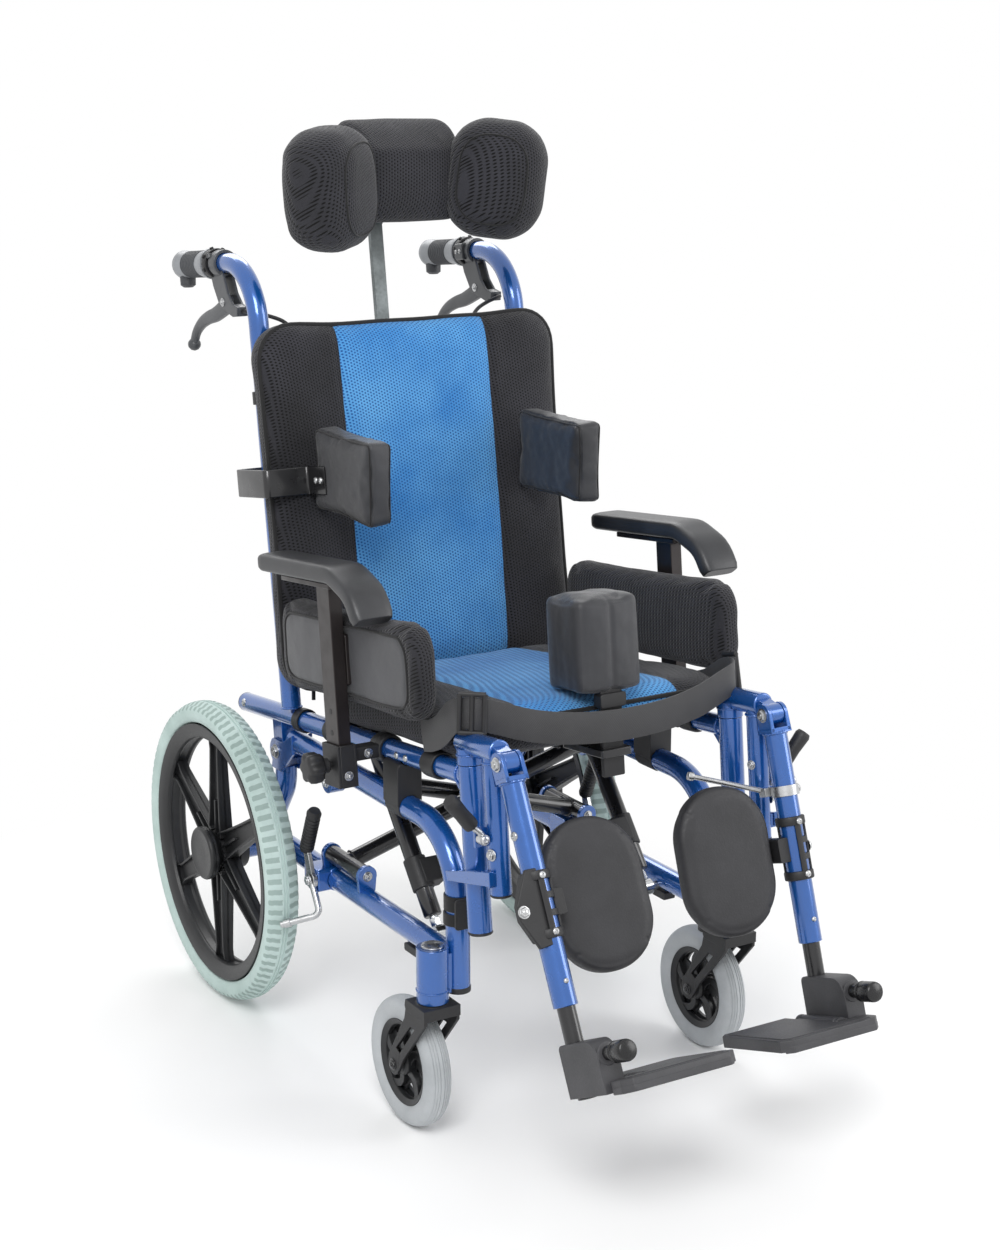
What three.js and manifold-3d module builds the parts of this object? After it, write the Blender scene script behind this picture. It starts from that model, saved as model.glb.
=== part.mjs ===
// Tilt in space wheelchair: folding chassis, tilting seat frame, elevating leg rests,
// head rest, trunk supports, pommel and lap belt.
// Millimetres, +Z up. The chair faces -Y. The occupant's left side is at +X.
// The origin is on the floor, in the middle of the footprint.
import * as THREE from "three";
import { mergeVertices } from "three/addons/utils/BufferGeometryUtils.js";
import Module from "manifold-3d";

const wasm = await Module();
wasm.setup();

// Driving dimensions of the whole chair
const frame_half_width = 176;
const low_tube_height = 214;
const top_tube_height = 364;
const front_upright_ahead = 512;
const tilt_pivot_ahead = 70;
const tilt_pivot_drop = 20;
const tilt_pivot_height = top_tube_height - tilt_pivot_drop;
const back_height = 558;
const seat_slope_deg = 6.2;
const back_lean_deg = 1.9;
const seat_gap = 0.3;
const running_gap = 0.4;
const overrun = 20;
const overlap = 1;

// Number of sides and steps of round shapes
const tube_sides = 10;
const round_sides = 16;
const small_sides = 8;
const hex_sides = 6;
const round_edge_shares = [0, 0.3, 1];
const bend_steps = 4;
const channel_clear_share = 1.6;

// How far each piece stands outside the middle of the side tubes
const outside = {
  rear_wheel: 64, axle_end: 88, caster: 32, web: 17, web_root: 10, lug: 10, lock_clamp: 27, lock_pin: 38,
  lock_shoe: 74, cushion: 2, cane: 8, back_pad: 40, strap: 46.5, arm_post: 61, arm_knob: 84, arm_pad: 41,
  guard: 14, latch: 14.8, latch_ear: 8, release: 19, release_knee: 35, release_tip: 60, belt: 8.5,
};

// How far each piece stands inside the middle of the side tubes
const inside = {
  axle_boss: 18, brace_end: 24, brace_disc: 26, brace_lug: 10, lock_clamp: 16, strut: 29, strut_pin: 38,
  seat_pan: 46, seat_cross: 12.8, back_bar: 4.2, lateral: 49, strap_pad: 10.7, strap_root: 26, plate: 52,
  calf: 89, calf_edge: 29,
};

// Rear wheels
const rear_wheel = {
  radius: 198, tyre_width: 44, centre_out: frame_half_width + outside.rear_wheel, tyre_seat: 170,
  rim_inner: 152, rim_half_width: 17, rim_lip: 9, rim_step: 160, tyre_foot: 15, tyre_shoulder: 184,
  tyre_crown: 193, tread_half: 6, crown_half: 16, hub_radius: 26, cap_radius: 35, cap_edge: 31,
  cap_thickness: 6, hub_inner: 29.7, hub_outer: 24, spoke_count: 6, spoke_root: 20, spoke_half_root: 19,
  spoke_half_tip: 12, spoke_depth: 14, ring_segments: 24, hub_segments: 12,
};
const axle = {
  radius: 6, boss_radius: 17, boss_inner: frame_half_width - inside.axle_boss,
  end_out: frame_half_width + outside.axle_end,
};

// Casters
const caster = {
  radius: 77, width: 31, out: frame_half_width + outside.caster, stem_ahead: 510, trail: 54, rim_inner: 44,
  rim_half: 12, tread_edge: 68, tread_round: 75, round_half: 9, flat_half: 3, hub_radius: 15, hub_half: 14,
  spoke_count: 5, spoke_half: 4, spoke_depth: 9, segments: 16, axle_radius: 5, axle_half: 24, leg_inner: 19,
  leg_thickness: 4, stem_radius: 12.7, stem_top: 224, crown_top: 170.5, crown_thickness: 13, crown_half: 22,
  slot_top_share: 2.4, housing_radius: 18.5, housing_low: 172, housing_high: 237,
};

// Chassis tubes and brackets
const chassis = {
  tube: 14, bend: 80, upright_low: 178, top_tube_rear: 98, rear_bend: 36, upright_drop: 18,
  rear_knee_ahead: 68, rear_knee_drop: 48, rear_foot: 205, cheek_inner: 10.5, cheek_thickness: 4,
  pivot_pin: 5, pivot_head: 9, head_thickness: 4.5, web_half: 9,
  web_inner: frame_half_width + outside.web_root, web_outer: frame_half_width + outside.web,
};
const saddle = { ahead: 385, half_length: 20, half_width: 13, foot_rise: 4, height: 55 };

// Cross brace with hinge sleeves on the low tubes
const brace = {
  tube: 11, right_plane: 236, left_plane: 205, sleeve_rise: 29, sleeve_half: 47, ear_radius: 13,
  ear_half: 3, ear_foot: 10, top_height: 340, top_reach: frame_half_width - inside.brace_end,
  disc_radius: 10, disc_inner: frame_half_width - inside.brace_disc, lug_radius: 14,
  lug_inner: frame_half_width - inside.brace_lug, lug_outer: frame_half_width + outside.lug,
  hanger_half: 10, bolt_radius: 6, bolt_head: 4, right_sleeve: 242, left_sleeve: 190, pin_radius: 7,
};

// Wheel locks
const lock = {
  clamp_rear: 172, clamp_front: 212, clamp_low: 200, clamp_high: 229,
  clamp_inner: frame_half_width - inside.lock_clamp, clamp_outer: frame_half_width + outside.lock_clamp,
  pivot_ahead: 200, pivot_height: 215, pin: 4, pin_end: frame_half_width + outside.lock_pin, hub: 11,
  plate_thickness: 6, grip_radius: 9, grip_low_ahead: 188, grip_low_height: 254, grip_top_ahead: 212,
  grip_top_height: 308, arm_half: 6, shoe_radius: 4, shoe_knee_ahead: 224, shoe_knee_height: 177,
  shoe_out: frame_half_width + outside.lock_shoe, shoe_ahead: 199.5, shoe_height: 164,
};

// Gas struts: black cylinder over a bright rod
const strut = {
  out: frame_half_width - inside.strut, low_ahead: 417, low_height: 207, seat_forward: 189, eye_half: 6.5,
  seat_above: 43, low_eye: 10, high_eye: 15.5, high_bore: 11.5, pin: 5,
  pin_inner: frame_half_width - inside.strut_pin, head: 13.5, head_thickness: 4, low_head: 8, rod: 4,
  rod_end: 190, cylinder: 11, cylinder_start: 22, neck: 6.5, neck_length: 18, bore: 5, bore_end: 202,
  nut: 7, nut_length: 10,
};

// Seat frame
const seat = {
  rail: 12.5, rail_above: 47, rail_rear: 112.5, post_forward: 481, post: 14, post_high: 59.6, post_low: 129,
  post_pin: 7, post_pin_top: 88, lug_half: 10, lug_radius: 13, gusset_half: 4, gusset_back: 42,
  gusset_drop: 36, pan_half: frame_half_width - inside.seat_pan,
  cross_half: frame_half_width - inside.seat_cross, pan_front: 440, pan_rear: 74, pan_low: 52,
  pan_high: 59.7, cross: 8, cross_height: 49, cross_front: 380, cross_rear: 150, socket_half: 20,
  socket_front: 506, socket_low: 44,
};
const cushion = {
  half_width: frame_half_width + outside.cushion, front: 486, rear: 108, low: 60, thickness: 40, edge: 13,
  corner: 62, crown: 6, draw_in: 4, channel_share: 0.596, channel_width: 7, channel_depth: 3,
};

// Back: canes, cross bars and padded back
const back = {
  base_forward: 43.6, base_above: 59.8, cane_out: frame_half_width + outside.cane, cane: 12.5,
  corner_height: back_height, top_reach: 236, top_rise: 12, bend: 80, bar: 8, low_bar: 90,
  mid_bar_share: 0.5323, high_bar_drop: 138, bar_end: frame_half_width - inside.back_bar, spine_half: 20,
  spine_thickness: 8, clamp_half: 20, clamp_rear: 36, clamp_half_height: 15,
};
const back_pad = {
  half_width: frame_half_width + outside.back_pad, low: 24, top_drop: 68, rear: 12.8, thickness: 40,
  edge: 13, corner: 46, crown: 6, draw_in: 4, channel_share: 0.5, channel_width: 7, channel_depth: 3,
};
const grip = { start: 142, length: 98, radius: 17, nose: 15, nose_length: 4 };
const brake = {
  clamp_radius: 17, clamp_start: 84, clamp_end: 118, cheek_inner: 4.5, cheek_thickness: 3.5,
  pivot_back: 85.4, pivot_drop: 44.3, pin: 3, hub: 8, ball: 8.5, lever_bend: 18, knee_drop: 16,
  tip_drop: 40, knee_share: 2.4, tip_share: 3.6, cable_back: 50, cable_drop: 58, nose: 7,
};

// Brake cables, from the brake bracket, behind the padded back and down to the seat frame.
// Each stop is inward of the cane, behind the back's own plane and down the back.
const cable = { radius: 2.5, sides: 6, steps: 22, low: 6 };
const cable_stops = [
  { inward: 0, behind: 49.2, down_share: 0 },
  { inward: 0, behind: 41, down_share: 0.0008 },
  { inward: 4, behind: 30, down_share: 0.003 },
  { inward: 26, behind: 26, down_share: 0.0162 },
  { inward: 46, behind: 21, down_share: 0.0364 },
  { inward: 60, behind: 18, down_share: 0.0769 },
  { inward: 65, behind: 17, down_share: 0.1417 },
  { inward: 66, behind: 16, down_share: 0.2429 },
  { inward: 65, behind: 16, down_share: 0.3644 },
  { inward: 62, behind: 16, down_share: 0.5061 },
  { inward: 57, behind: 16, down_share: 0.6478 },
  { inward: 51, behind: 16, down_share: 0.7692 },
  { inward: 45, behind: 15, down_share: 0.8704 },
  { inward: 39, behind: 12, down_share: 0.9514 },
  { inward: 35, behind: 8, down_share: 1 },
];

// Trunk supports
const lateral = {
  inner: frame_half_width - inside.lateral, width: 36, rear: 72, front: 222, below: 56, above: 48, edge: 6,
  corner: 9, crown: 2, strap_half: 17, strap_thickness: 4, strap_out: frame_half_width + outside.strap,
  strap_back: 17.5, strap_front: 66.5, strap_pad: frame_half_width - inside.strap_pad, strap_tip: 112,
  strap_root: frame_half_width - inside.strap_root,
};

// Head rest
const head = {
  stem_half: 9, stem_back: 20, stem_thickness: 8, stem_low_drop: 228, stem_bend_rise: 44, plate_half: 30,
  plate_back: -36.7, plate_thickness: 4, plate_low_rise: 70, plate_height: 50, neck_rise: 94,
  centre_half: 62, centre_half_height: 65, centre_thickness: 42, centre_rise: 103, centre_back: -58,
  centre_edge: 12, centre_corner: 16, wing_out: 110, wing_forward: 100, wing_rise: 91, wing_half_length: 64,
  wing_half_depth: 42, wing_half_height: 76, wing_turn_deg: 38, wing_round_share: 0.62, wing_columns: 12,
  wing_rows: 8,
};

// Arm rests
const arm = {
  post_out: frame_half_width + outside.arm_post, post_half_x: 8, post_half_y: 16, post_forward: 282,
  post_low: 16, post_high: 246, plate_half: 15, plate_front: 316, plate_rear: 185, plate_thickness: 6,
  boss: 8, boss_height: 160, socket_wall: 4, socket_low: 12, socket_high: 62, bar_half_y: 12, bar_half_z: 8,
  collar: 16.5, collar_half: 12, knob_radius: 19, knob_flute: 3.5, knob_lobes: 6, knob_thickness: 22,
  knob_height: 38, knob_stem: 4, knob_start: frame_half_width + outside.arm_knob,
  pad_inner: frame_half_width + outside.arm_pad, pad_width: 40, pad_bevel: 5, pad_rear: 141, pad_low: 257,
  pad_high: 270, pad_bend: 322, pad_shoulder: 355, pad_knee: 368, pad_knee_height: 248, pad_tip: 396,
  pad_tip_height: 218, pad_heel: 386, pad_heel_height: 212, pad_inner_knee: 352, pad_inner_knee_height: 246,
};
const guard = {
  inner: frame_half_width + outside.guard, width: 32, front: 462, rear: 108, low: 107, high: 205, edge: 9,
  corner: 40, crown: 2, draw_in: 2,
};

// Pommel and lap belt
const pommel = {
  half_width: 45, front: 507, rear: 425, low: 116, high: 226, edge: 7, corner: 13, crown: 3, stem_half: 14,
  stem_front: 498, stem_rear: 492, stem_low: 20,
};

// The lap belt's stops on each side: a share of the way out to its loop, then ahead and above
const belt = { width: 36, thickness: 3, out: frame_half_width + outside.belt };
const belt_stops = {
  left: [
    { out_share: 0, ahead: 512, above: 88 },
    { out_share: 0.325, ahead: 511.5, above: 91 },
    { out_share: 0.596, ahead: 509, above: 101 },
    { out_share: 0.802, ahead: 503, above: 115 },
    { out_share: 0.932, ahead: 495, above: 121 },
    { out_share: 0.992, ahead: 480, above: 122 },
    { out_share: 1, ahead: 462, above: 119 },
    { out_share: 1, ahead: 430, above: 96 },
    { out_share: 1, ahead: 400, above: 85 },
  ],
  right: [
    { out_share: 0.325, ahead: 511, above: 92 },
    { out_share: 0.596, ahead: 508.5, above: 101 },
    { out_share: 0.802, ahead: 504, above: 112 },
    { out_share: 0.94, ahead: 497, above: 118 },
    { out_share: 1.005, ahead: 482, above: 117 },
    { out_share: 1.015, ahead: 464, above: 110 },
    { out_share: 1.015, ahead: 438, above: 92 },
    { out_share: 1.015, ahead: 415, above: 83 },
    { out_share: 1.015, ahead: 396, above: 80 },
  ],
};

// Leg rest hanger, in the seat frame
const hanger = {
  arm: 13.5, arm_above: 83, arm_front: 545, arm_back: 12, collar: 15, collar_low: 60, collar_high: 80,
  drop: 12, drop_forward: 532, drop_low: 76, tongue: 12, tongue_half: 8.6, pin_forward: 561, pin_above: 74,
  pin: 5, pin_head: 8, pin_head_thickness: 3, latch_inner: frame_half_width + outside.latch,
  latch_thickness: 4.5, latch_front: 540, latch_rear: 463, latch_low: 64, latch_high: 52, ear_front: 526,
  ear_rear: 521, ear_inner: frame_half_width + outside.latch_ear, ear_width: 17, ear_half: 8,
};
const release = {
  out: frame_half_width + outside.release, forward: 532, drop: 12, hub: 6, pin: 3, half: 5.7, rod: 4,
  grip_radius: 9, knee_out: frame_half_width + outside.release_knee, knee_forward: 535, knee_rise: 8,
  tip_out: frame_half_width + outside.release_tip, tip_forward: 540, tip_rise: 38,
};

// Leg rests, measured along the leg from its pivot
const leg = {
  tube: 13.5, start: 20, end: 262, bore: 10.3, bore_start: 140, fork_inner: 9, fork_thickness: 4.5,
  fork_radius: 13, bridge: 15.5, right_angle_deg: 20.6, left_angle_deg: 12.4,
};
const calf = {
  right_setback: 20, left_setback: 4, inward: frame_half_width - inside.calf,
  half_width: frame_half_width / 2 - inside.calf_edge + overlap, half_height: 90, thickness: 24, edge: 5,
  centre_down: 154, crown: 2, toe_in_deg: 7, collar: 17, collar_start: 118, collar_end: 190,
  plate_thickness: 6, plate_half_height: 14, plate_reach: 96, arm_inner: 24, corner_share: 0.98,
};
const foot = {
  tube: 10, tube_start: 150, block_low: 356, block_high: 300, block_inner: 12.5, block_outer: 13,
  block_front: 62, block_rear: 14, neck: 7, neck_end: 77, bumper: 11.5, bumper_end: 103, bumper_down: 316,
  hinge_in: 22, hinge_down: 350, hinge_pin: 4, knuckle: 9, lug_thickness: 6,
  plate_inner: frame_half_width - inside.plate, plate_root: 32.5, plate_outer: 8, plate_toe: 66.5,
  plate_back: 28, plate_front: 96, plate_thickness: 13, plate_chamfer: 20,
};

// Shape helpers
function asSolid(geometry) {
  const bare = geometry.clone();
  bare.deleteAttribute("normal");
  bare.deleteAttribute("uv");
  const merged = mergeVertices(bare);
  const corners = merged.index.array;
  const kept = [];
  for (let i = 0; i < corners.length; i += 3) {
    const [a, b, c] = [corners[i], corners[i + 1], corners[i + 2]];
    if (a !== b && b !== c && c !== a) {
      kept.push(a, b, c);
    }
  }
  const vertProperties = new Float32Array(merged.attributes.position.array);
  return new wasm.Manifold(new wasm.Mesh({ numProp: 3, vertProperties, triVerts: new Uint32Array(kept) }));
}

function asGeometry(solid) {
  const mesh = solid.getMesh();
  const geometry = new THREE.BufferGeometry();
  geometry.setAttribute("position", new THREE.BufferAttribute(mesh.vertProperties, 3));
  geometry.setIndex(new THREE.BufferAttribute(mesh.triVerts, 1));
  geometry.computeVertexNormals();
  return geometry;
}

function join(...pieces) {
  return asGeometry(pieces.map(asSolid).reduce((whole, piece) => whole.add(piece)));
}

function cut(base, ...tools) {
  return asGeometry(tools.map(asSolid).reduce((whole, tool) => whole.subtract(tool), asSolid(base)));
}

function vector(point) {
  return new THREE.Vector3(...point);
}

function rod(radius, from, to, sides = tube_sides) {
  const start = vector(from);
  const along = vector(to).sub(start);
  const geometry = new THREE.CylinderGeometry(radius, radius, along.length(), sides);
  const turn = new THREE.Quaternion().setFromUnitVectors(new THREE.Vector3(0, 1, 0),
    along.clone().normalize());
  geometry.applyQuaternion(turn);
  const middle = start.addScaledVector(along, 0.5);
  return geometry.translate(middle.x, middle.y, middle.z);
}

function block(xs, ys, zs) {
  const size = [xs, ys, zs].map(([low, high]) => high - low);
  const middle = [xs, ys, zs].map(([low, high]) => (low + high) / 2);
  return new THREE.BoxGeometry(...size).translate(...middle);
}

// An outline in the side view, given as [y, z] points, made solid between two x values
function sidePlate(outline, from, to) {
  const shape = new THREE.Shape(outline.map(([y, z]) => new THREE.Vector2(y, z)));
  return sideSolid(shape, from, to);
}

function sideSolid(shape, from, to, bevel = 0) {
  const geometry = new THREE.ExtrudeGeometry(shape, {
    depth: to - from, steps: 1, curveSegments: bend_steps, bevelEnabled: bevel > 0,
    bevelThickness: bevel, bevelSize: bevel, bevelSegments: 2,
  });
  const axes = new THREE.Matrix4().makeBasis(
    new THREE.Vector3(0, 1, 0), new THREE.Vector3(0, 0, 1), new THREE.Vector3(1, 0, 0));
  return geometry.applyMatrix4(axes).translate(from, 0, 0);
}

function ringShape(radius, sides) {
  const points = [];
  for (let i = 0; i < sides; i += 1) {
    const turn = (2 * Math.PI * i) / sides;
    points.push(new THREE.Vector2(radius * Math.cos(turn), radius * Math.sin(turn)));
  }
  return new THREE.Shape(points);
}

// A path of straight runs joined by arcs, with rings only at the ends and in the bends
class BentPath extends THREE.Curve {
  constructor(points, radius) {
    super();
    const corners = points.map(vector);
    const last = corners.length - 1;
    const heading = (i) => corners[i + 1].clone().sub(corners[i]).normalize();
    this.stations = [corners[0].clone()];
    this.headings = [heading(0)];
    for (let i = 1; i < last; i += 1) {
      const into = heading(i - 1);
      const out = heading(i);
      const turn = into.angleTo(out);
      const run = radius * Math.tan(turn / 2);
      const inward = out.clone().addScaledVector(into, -into.dot(out)).normalize();
      const centre = corners[i].clone().addScaledVector(into, -run).addScaledVector(inward, radius);
      for (let step = 0; step <= bend_steps; step += 1) {
        const angle = (turn * step) / bend_steps;
        const place = centre.clone().addScaledVector(inward, -radius * Math.cos(angle));
        this.stations.push(place.addScaledVector(into, radius * Math.sin(angle)));
        const along = into.clone().multiplyScalar(Math.cos(angle));
        this.headings.push(along.addScaledVector(inward, Math.sin(angle)).normalize());
      }
    }
    this.stations.push(corners[last].clone());
    this.headings.push(heading(last - 1));
  }

  pick(list, share, target) {
    return target.copy(list[Math.round(share * (list.length - 1))]);
  }

  getPoint(share, target = new THREE.Vector3()) {
    return this.pick(this.stations, share, target);
  }

  getPointAt(share, target = new THREE.Vector3()) {
    return this.pick(this.stations, share, target);
  }

  getTangentAt(share, target = new THREE.Vector3()) {
    return this.pick(this.headings, share, target);
  }
}

function bentTube(points, radius, bend, sides = tube_sides) {
  const path = new BentPath(points, bend);
  return new THREE.ExtrudeGeometry(ringShape(radius, sides), {
    extrudePath: path, steps: path.stations.length - 1, bevelEnabled: false,
  });
}

// A closed solid from equal rings of points, with its faces turned outwards
function loft(rings) {
  const count = rings[0].length;
  const positions = rings.flat().flatMap((point) => [point.x, point.y, point.z]);
  const index = [];
  for (let i = 0; i + 1 < rings.length; i += 1) {
    for (let j = 0; j < count; j += 1) {
      const next = (j + 1) % count;
      const [a, b] = [i * count + j, i * count + next];
      const [c, d] = [a + count, b + count];
      index.push(a, b, d, a, d, c);
    }
  }
  const lastRing = (rings.length - 1) * count;
  for (let j = 1; j + 1 < count; j += 1) {
    index.push(0, j + 1, j, lastRing, lastRing + j, lastRing + j + 1);
  }
  return turnedOut(positions, index);
}

function turnedOut(positions, index) {
  const corner = (i) => new THREE.Vector3().fromArray(positions, 3 * index[i]);
  let volume = 0;
  for (let i = 0; i < index.length; i += 3) {
    volume += corner(i).dot(corner(i + 1).cross(corner(i + 2)));
  }
  if (volume < 0) {
    for (let i = 0; i < index.length; i += 3) {
      [index[i + 1], index[i + 2]] = [index[i + 2], index[i + 1]];
    }
  }
  const geometry = new THREE.BufferGeometry();
  geometry.setAttribute("position", new THREE.Float32BufferAttribute(positions, 3));
  geometry.setIndex(index);
  geometry.computeVertexNormals();
  return geometry;
}

// A flat strip that follows hand-placed points, with its width along a given direction
function ribbon(points, width, thickness, across) {
  const places = points.map(vector);
  const side = vector(across).normalize();
  const rings = places.map((place, i) => {
    const before = places[Math.max(i - 1, 0)];
    const after = places[Math.min(i + 1, places.length - 1)];
    const heading = after.clone().sub(before).normalize();
    const edge = side.clone().addScaledVector(heading, -side.dot(heading)).normalize();
    const face = heading.clone().cross(edge).normalize();
    const turnBefore = place.clone().sub(before);
    const stretch = i > 0 && i + 1 < places.length ? 1 / Math.cos(turnBefore.angleTo(heading)) : 1;
    return [[1, 1], [1, -1], [-1, -1], [-1, 1]].map(([w, t]) => place.clone()
      .addScaledVector(edge, (w * width) / 2)
      .addScaledVector(face, (t * thickness * stretch) / 2));
  });
  return loft(rings);
}

// Distance from the middle of a round-cornered rectangle to its edge, along a ray
function cornerFactor(x, y, halfX, halfY, corner) {
  const reach = Math.max(Math.abs(x) / halfX, Math.abs(y) / halfY);
  const [ex, ey] = [Math.abs(x) / reach, Math.abs(y) / reach];
  const [cx, cy] = [halfX - corner, halfY - corner];
  if (ex <= cx || ey <= cy) {
    return 1;
  }
  const a = ex * ex + ey * ey;
  const b = -2 * (ex * cx + ey * cy);
  const c = cx * cx + cy * cy - corner * corner;
  return Math.min(1, (-b + Math.sqrt(Math.max(b * b - 4 * a * c, 0))) / (2 * a));
}

// Grid lines of a pad: close together at its edges and beside each sewn channel
function gridShares(half, edge, inner, channels, channelWidth, edgeShares) {
  const marks = [0];
  for (const share of edgeShares) {
    marks.push(half - edge * share);
  }
  for (let i = 1; i <= inner; i += 1) {
    marks.push(((half - edge) * i) / (inner + 1));
  }
  const bare = marks.filter((mark) => channels.every((channel) =>
    Math.abs(mark - channel) > channelWidth * channel_clear_share));
  for (const channel of channels) {
    bare.push(channel - channelWidth, channel, channel + channelWidth);
  }
  const right = [...new Set(bare)].sort((p, q) => p - q);
  const left = right.filter((mark) => mark > 0).map((mark) => -mark).reverse();
  return [...left, ...right].map((mark) => mark / half);
}

// A padded cushion lying in the XY plane: crowned faces, rounded edges, sides drawn in
// between the corners, and sewn channels that run along Y
function pad(size) {
  const { halfX, halfY, thickness, edge, corner, crown, under = 0, drawIn = 0 } = size;
  const { channels = [], channelWidth = edge, channelDepth = 0, innerX = 3, innerY = 3 } = size;
  const { edgeShares = [0, 1] } = size;
  const us = gridShares(halfX, edge, innerX, channels, channelWidth, edgeShares);
  const vs = gridShares(halfY, edge, innerY, [], channelWidth, edgeShares);
  const positions = [];
  const faceHeight = (u, v, bulge) => {
    const inset = Math.min((1 - Math.abs(u)) * halfX, (1 - Math.abs(v)) * halfY, edge);
    const drop = edge - Math.sqrt(Math.max(edge * edge - (edge - inset) ** 2, 0));
    return thickness / 2 - drop + bulge * (1 - u * u) * (1 - v * v);
  };
  for (const top of [true, false]) {
    for (const v of vs) {
      for (const u of us) {
        const reach = Math.max(Math.abs(u), Math.abs(v));
        const factor = reach > 0 ? cornerFactor(u * halfX, v * halfY, halfX, halfY, corner) : 1;
        const pull = 1 + (factor - 1) * reach ** 4;
        const waistX = 1 - (drawIn / halfX) * (1 - v * v) * u ** 4;
        const waistY = 1 - (drawIn / halfY) * (1 - u * u) * v ** 4;
        let height = faceHeight(u, v, top ? crown : under);
        if (top) {
          const inChannel = channels.some((channel) =>
            Math.abs(Math.abs(u * halfX) - channel) < channelWidth / 2);
          height -= inChannel && Math.abs(v) < 1 ? channelDepth : 0;
        }
        positions.push(u * halfX * pull * waistX, v * halfY * pull * waistY, top ? height : -height);
      }
    }
  }
  const [nu, nv] = [us.length, vs.length];
  const at = (top, i, j) => (top ? 0 : nu * nv) + j * nu + i;
  const index = [];
  for (let j = 0; j + 1 < nv; j += 1) {
    for (let i = 0; i + 1 < nu; i += 1) {
      index.push(at(true, i, j), at(true, i + 1, j), at(true, i + 1, j + 1));
      index.push(at(true, i, j), at(true, i + 1, j + 1), at(true, i, j + 1));
      index.push(at(false, i, j), at(false, i + 1, j + 1), at(false, i + 1, j));
      index.push(at(false, i, j), at(false, i, j + 1), at(false, i + 1, j + 1));
    }
  }
  const rim = [];
  for (let i = 0; i + 1 < nu; i += 1) {
    rim.push([i, 0]);
  }
  for (let j = 0; j + 1 < nv; j += 1) {
    rim.push([nu - 1, j]);
  }
  for (let i = nu - 1; i > 0; i -= 1) {
    rim.push([i, nv - 1]);
  }
  for (let j = nv - 1; j > 0; j -= 1) {
    rim.push([0, j]);
  }
  rim.forEach(([i, j], k) => {
    const [ni, nj] = rim[(k + 1) % rim.length];
    index.push(at(true, i, j), at(false, i, j), at(false, ni, nj));
    index.push(at(true, i, j), at(false, ni, nj), at(true, ni, nj));
  });
  return turnedOut(positions, index);
}

// Turns a pad that lies flat so that its face looks along -Y and its length stands up
function standing(geometry) {
  return geometry.rotateX(Math.PI / 2);
}

// Turns a pad that lies flat so that its face looks along +X and its length runs along Y
function sideways(geometry) {
  return geometry.rotateZ(Math.PI / 2).rotateX(Math.PI / 2).rotateZ(Math.PI / 2);
}

// A round-edged bulging block made from a sphere
function bulge(halfX, halfY, halfZ, roundShare, columns, rows) {
  const geometry = new THREE.SphereGeometry(1, columns, rows);
  const place = geometry.attributes.position;
  const soften = (value) => Math.sign(value) * Math.abs(value) ** roundShare;
  for (let i = 0; i < place.count; i += 1) {
    const [x, y, z] = [place.getX(i), place.getY(i), place.getZ(i)];
    place.setXYZ(i, soften(x) * halfX, soften(z) * halfY, soften(y) * -halfZ);
  }
  return geometry;
}

function lathe(profile, segments) {
  return new THREE.LatheGeometry(profile.map(([r, h]) => new THREE.Vector2(r, h)), segments);
}

// A ring turned about the X axis from a closed profile of [radius, x] points
function wheelRing(profile, segments) {
  const ring = lathe([...profile, profile[0]], segments).rotateZ(-Math.PI / 2);
  return turnedOut([...ring.attributes.position.array], [...ring.index.array]);
}

// Materials
function finish(colour, roughness, metalness) {
  return new THREE.MeshStandardMaterial({ color: colour, roughness, metalness });
}

const blue_paint = finish(0x2f63b4, 0.3, 0.5);
const black_plastic = finish(0x1d1d1f, 0.5, 0);
const black_steel = finish(0x1a1a1c, 0.4, 0.6);
const bright_steel = finish(0xb9bcc0, 0.25, 0.9);
const black_mesh = finish(0x1b1b1d, 0.9, 0);
const blue_mesh = finish(0x2d74c4, 0.9, 0);
const grey_nylon = finish(0x3c3c40, 0.7, 0);
const grey_foam = finish(0x3a3a3d, 0.75, 0);
const pale_tyre = finish(0xa9aeb0, 0.8, 0);
const green_tyre = finish(0xa9c2bb, 0.8, 0);
const grey_rubber = finish(0x8d9094, 0.6, 0);
const webbing = finish(0x2f2f31, 0.8, 0);

const chair = new THREE.Group();

function addPart(group, name, geometry, material) {
  const mesh = new THREE.Mesh(geometry, material);
  mesh.name = name;
  group.add(mesh);
  return mesh;
}

function mirrored(parent, side) {
  const group = new THREE.Group();
  group.scale.x = side === "left" ? 1 : -1;
  parent.add(group);
  return group;
}

const radians = THREE.MathUtils.degToRad;
const whole_lean = radians(seat_slope_deg + back_lean_deg);
const sides = ["right", "left"];

// Seat frame group: local y and z run along and square to the tilting rails
const seatFrame = new THREE.Group();
seatFrame.position.set(0, -tilt_pivot_ahead, tilt_pivot_height);
seatFrame.rotation.x = -radians(seat_slope_deg);
chair.add(seatFrame);

// Back group: local z runs up the back canes
const backFrame = new THREE.Group();
backFrame.position.set(0, -back.base_forward, back.base_above);
backFrame.rotation.x = -radians(back_lean_deg);
seatFrame.add(backFrame);

function brakeTube(radius, from, to) {
  const rise = back.top_rise / back.top_reach;
  const point = (y) => [back.cane_out, y, back.corner_height + y * rise];
  return rod(radius, point(from), point(to));
}

// Chassis
function braceEar(ahead) {
  const height = low_tube_height + brace.sleeve_rise;
  const ys = [-ahead - brace.ear_half, -ahead + brace.ear_half];
  const round = rod(brace.ear_radius, [frame_half_width, ys[0], height], [frame_half_width, ys[1], height],
    small_sides);
  const stem = block([frame_half_width - brace.ear_foot, frame_half_width + brace.ear_foot], ys,
    [low_tube_height, height]);
  return join(round, stem);
}

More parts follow.
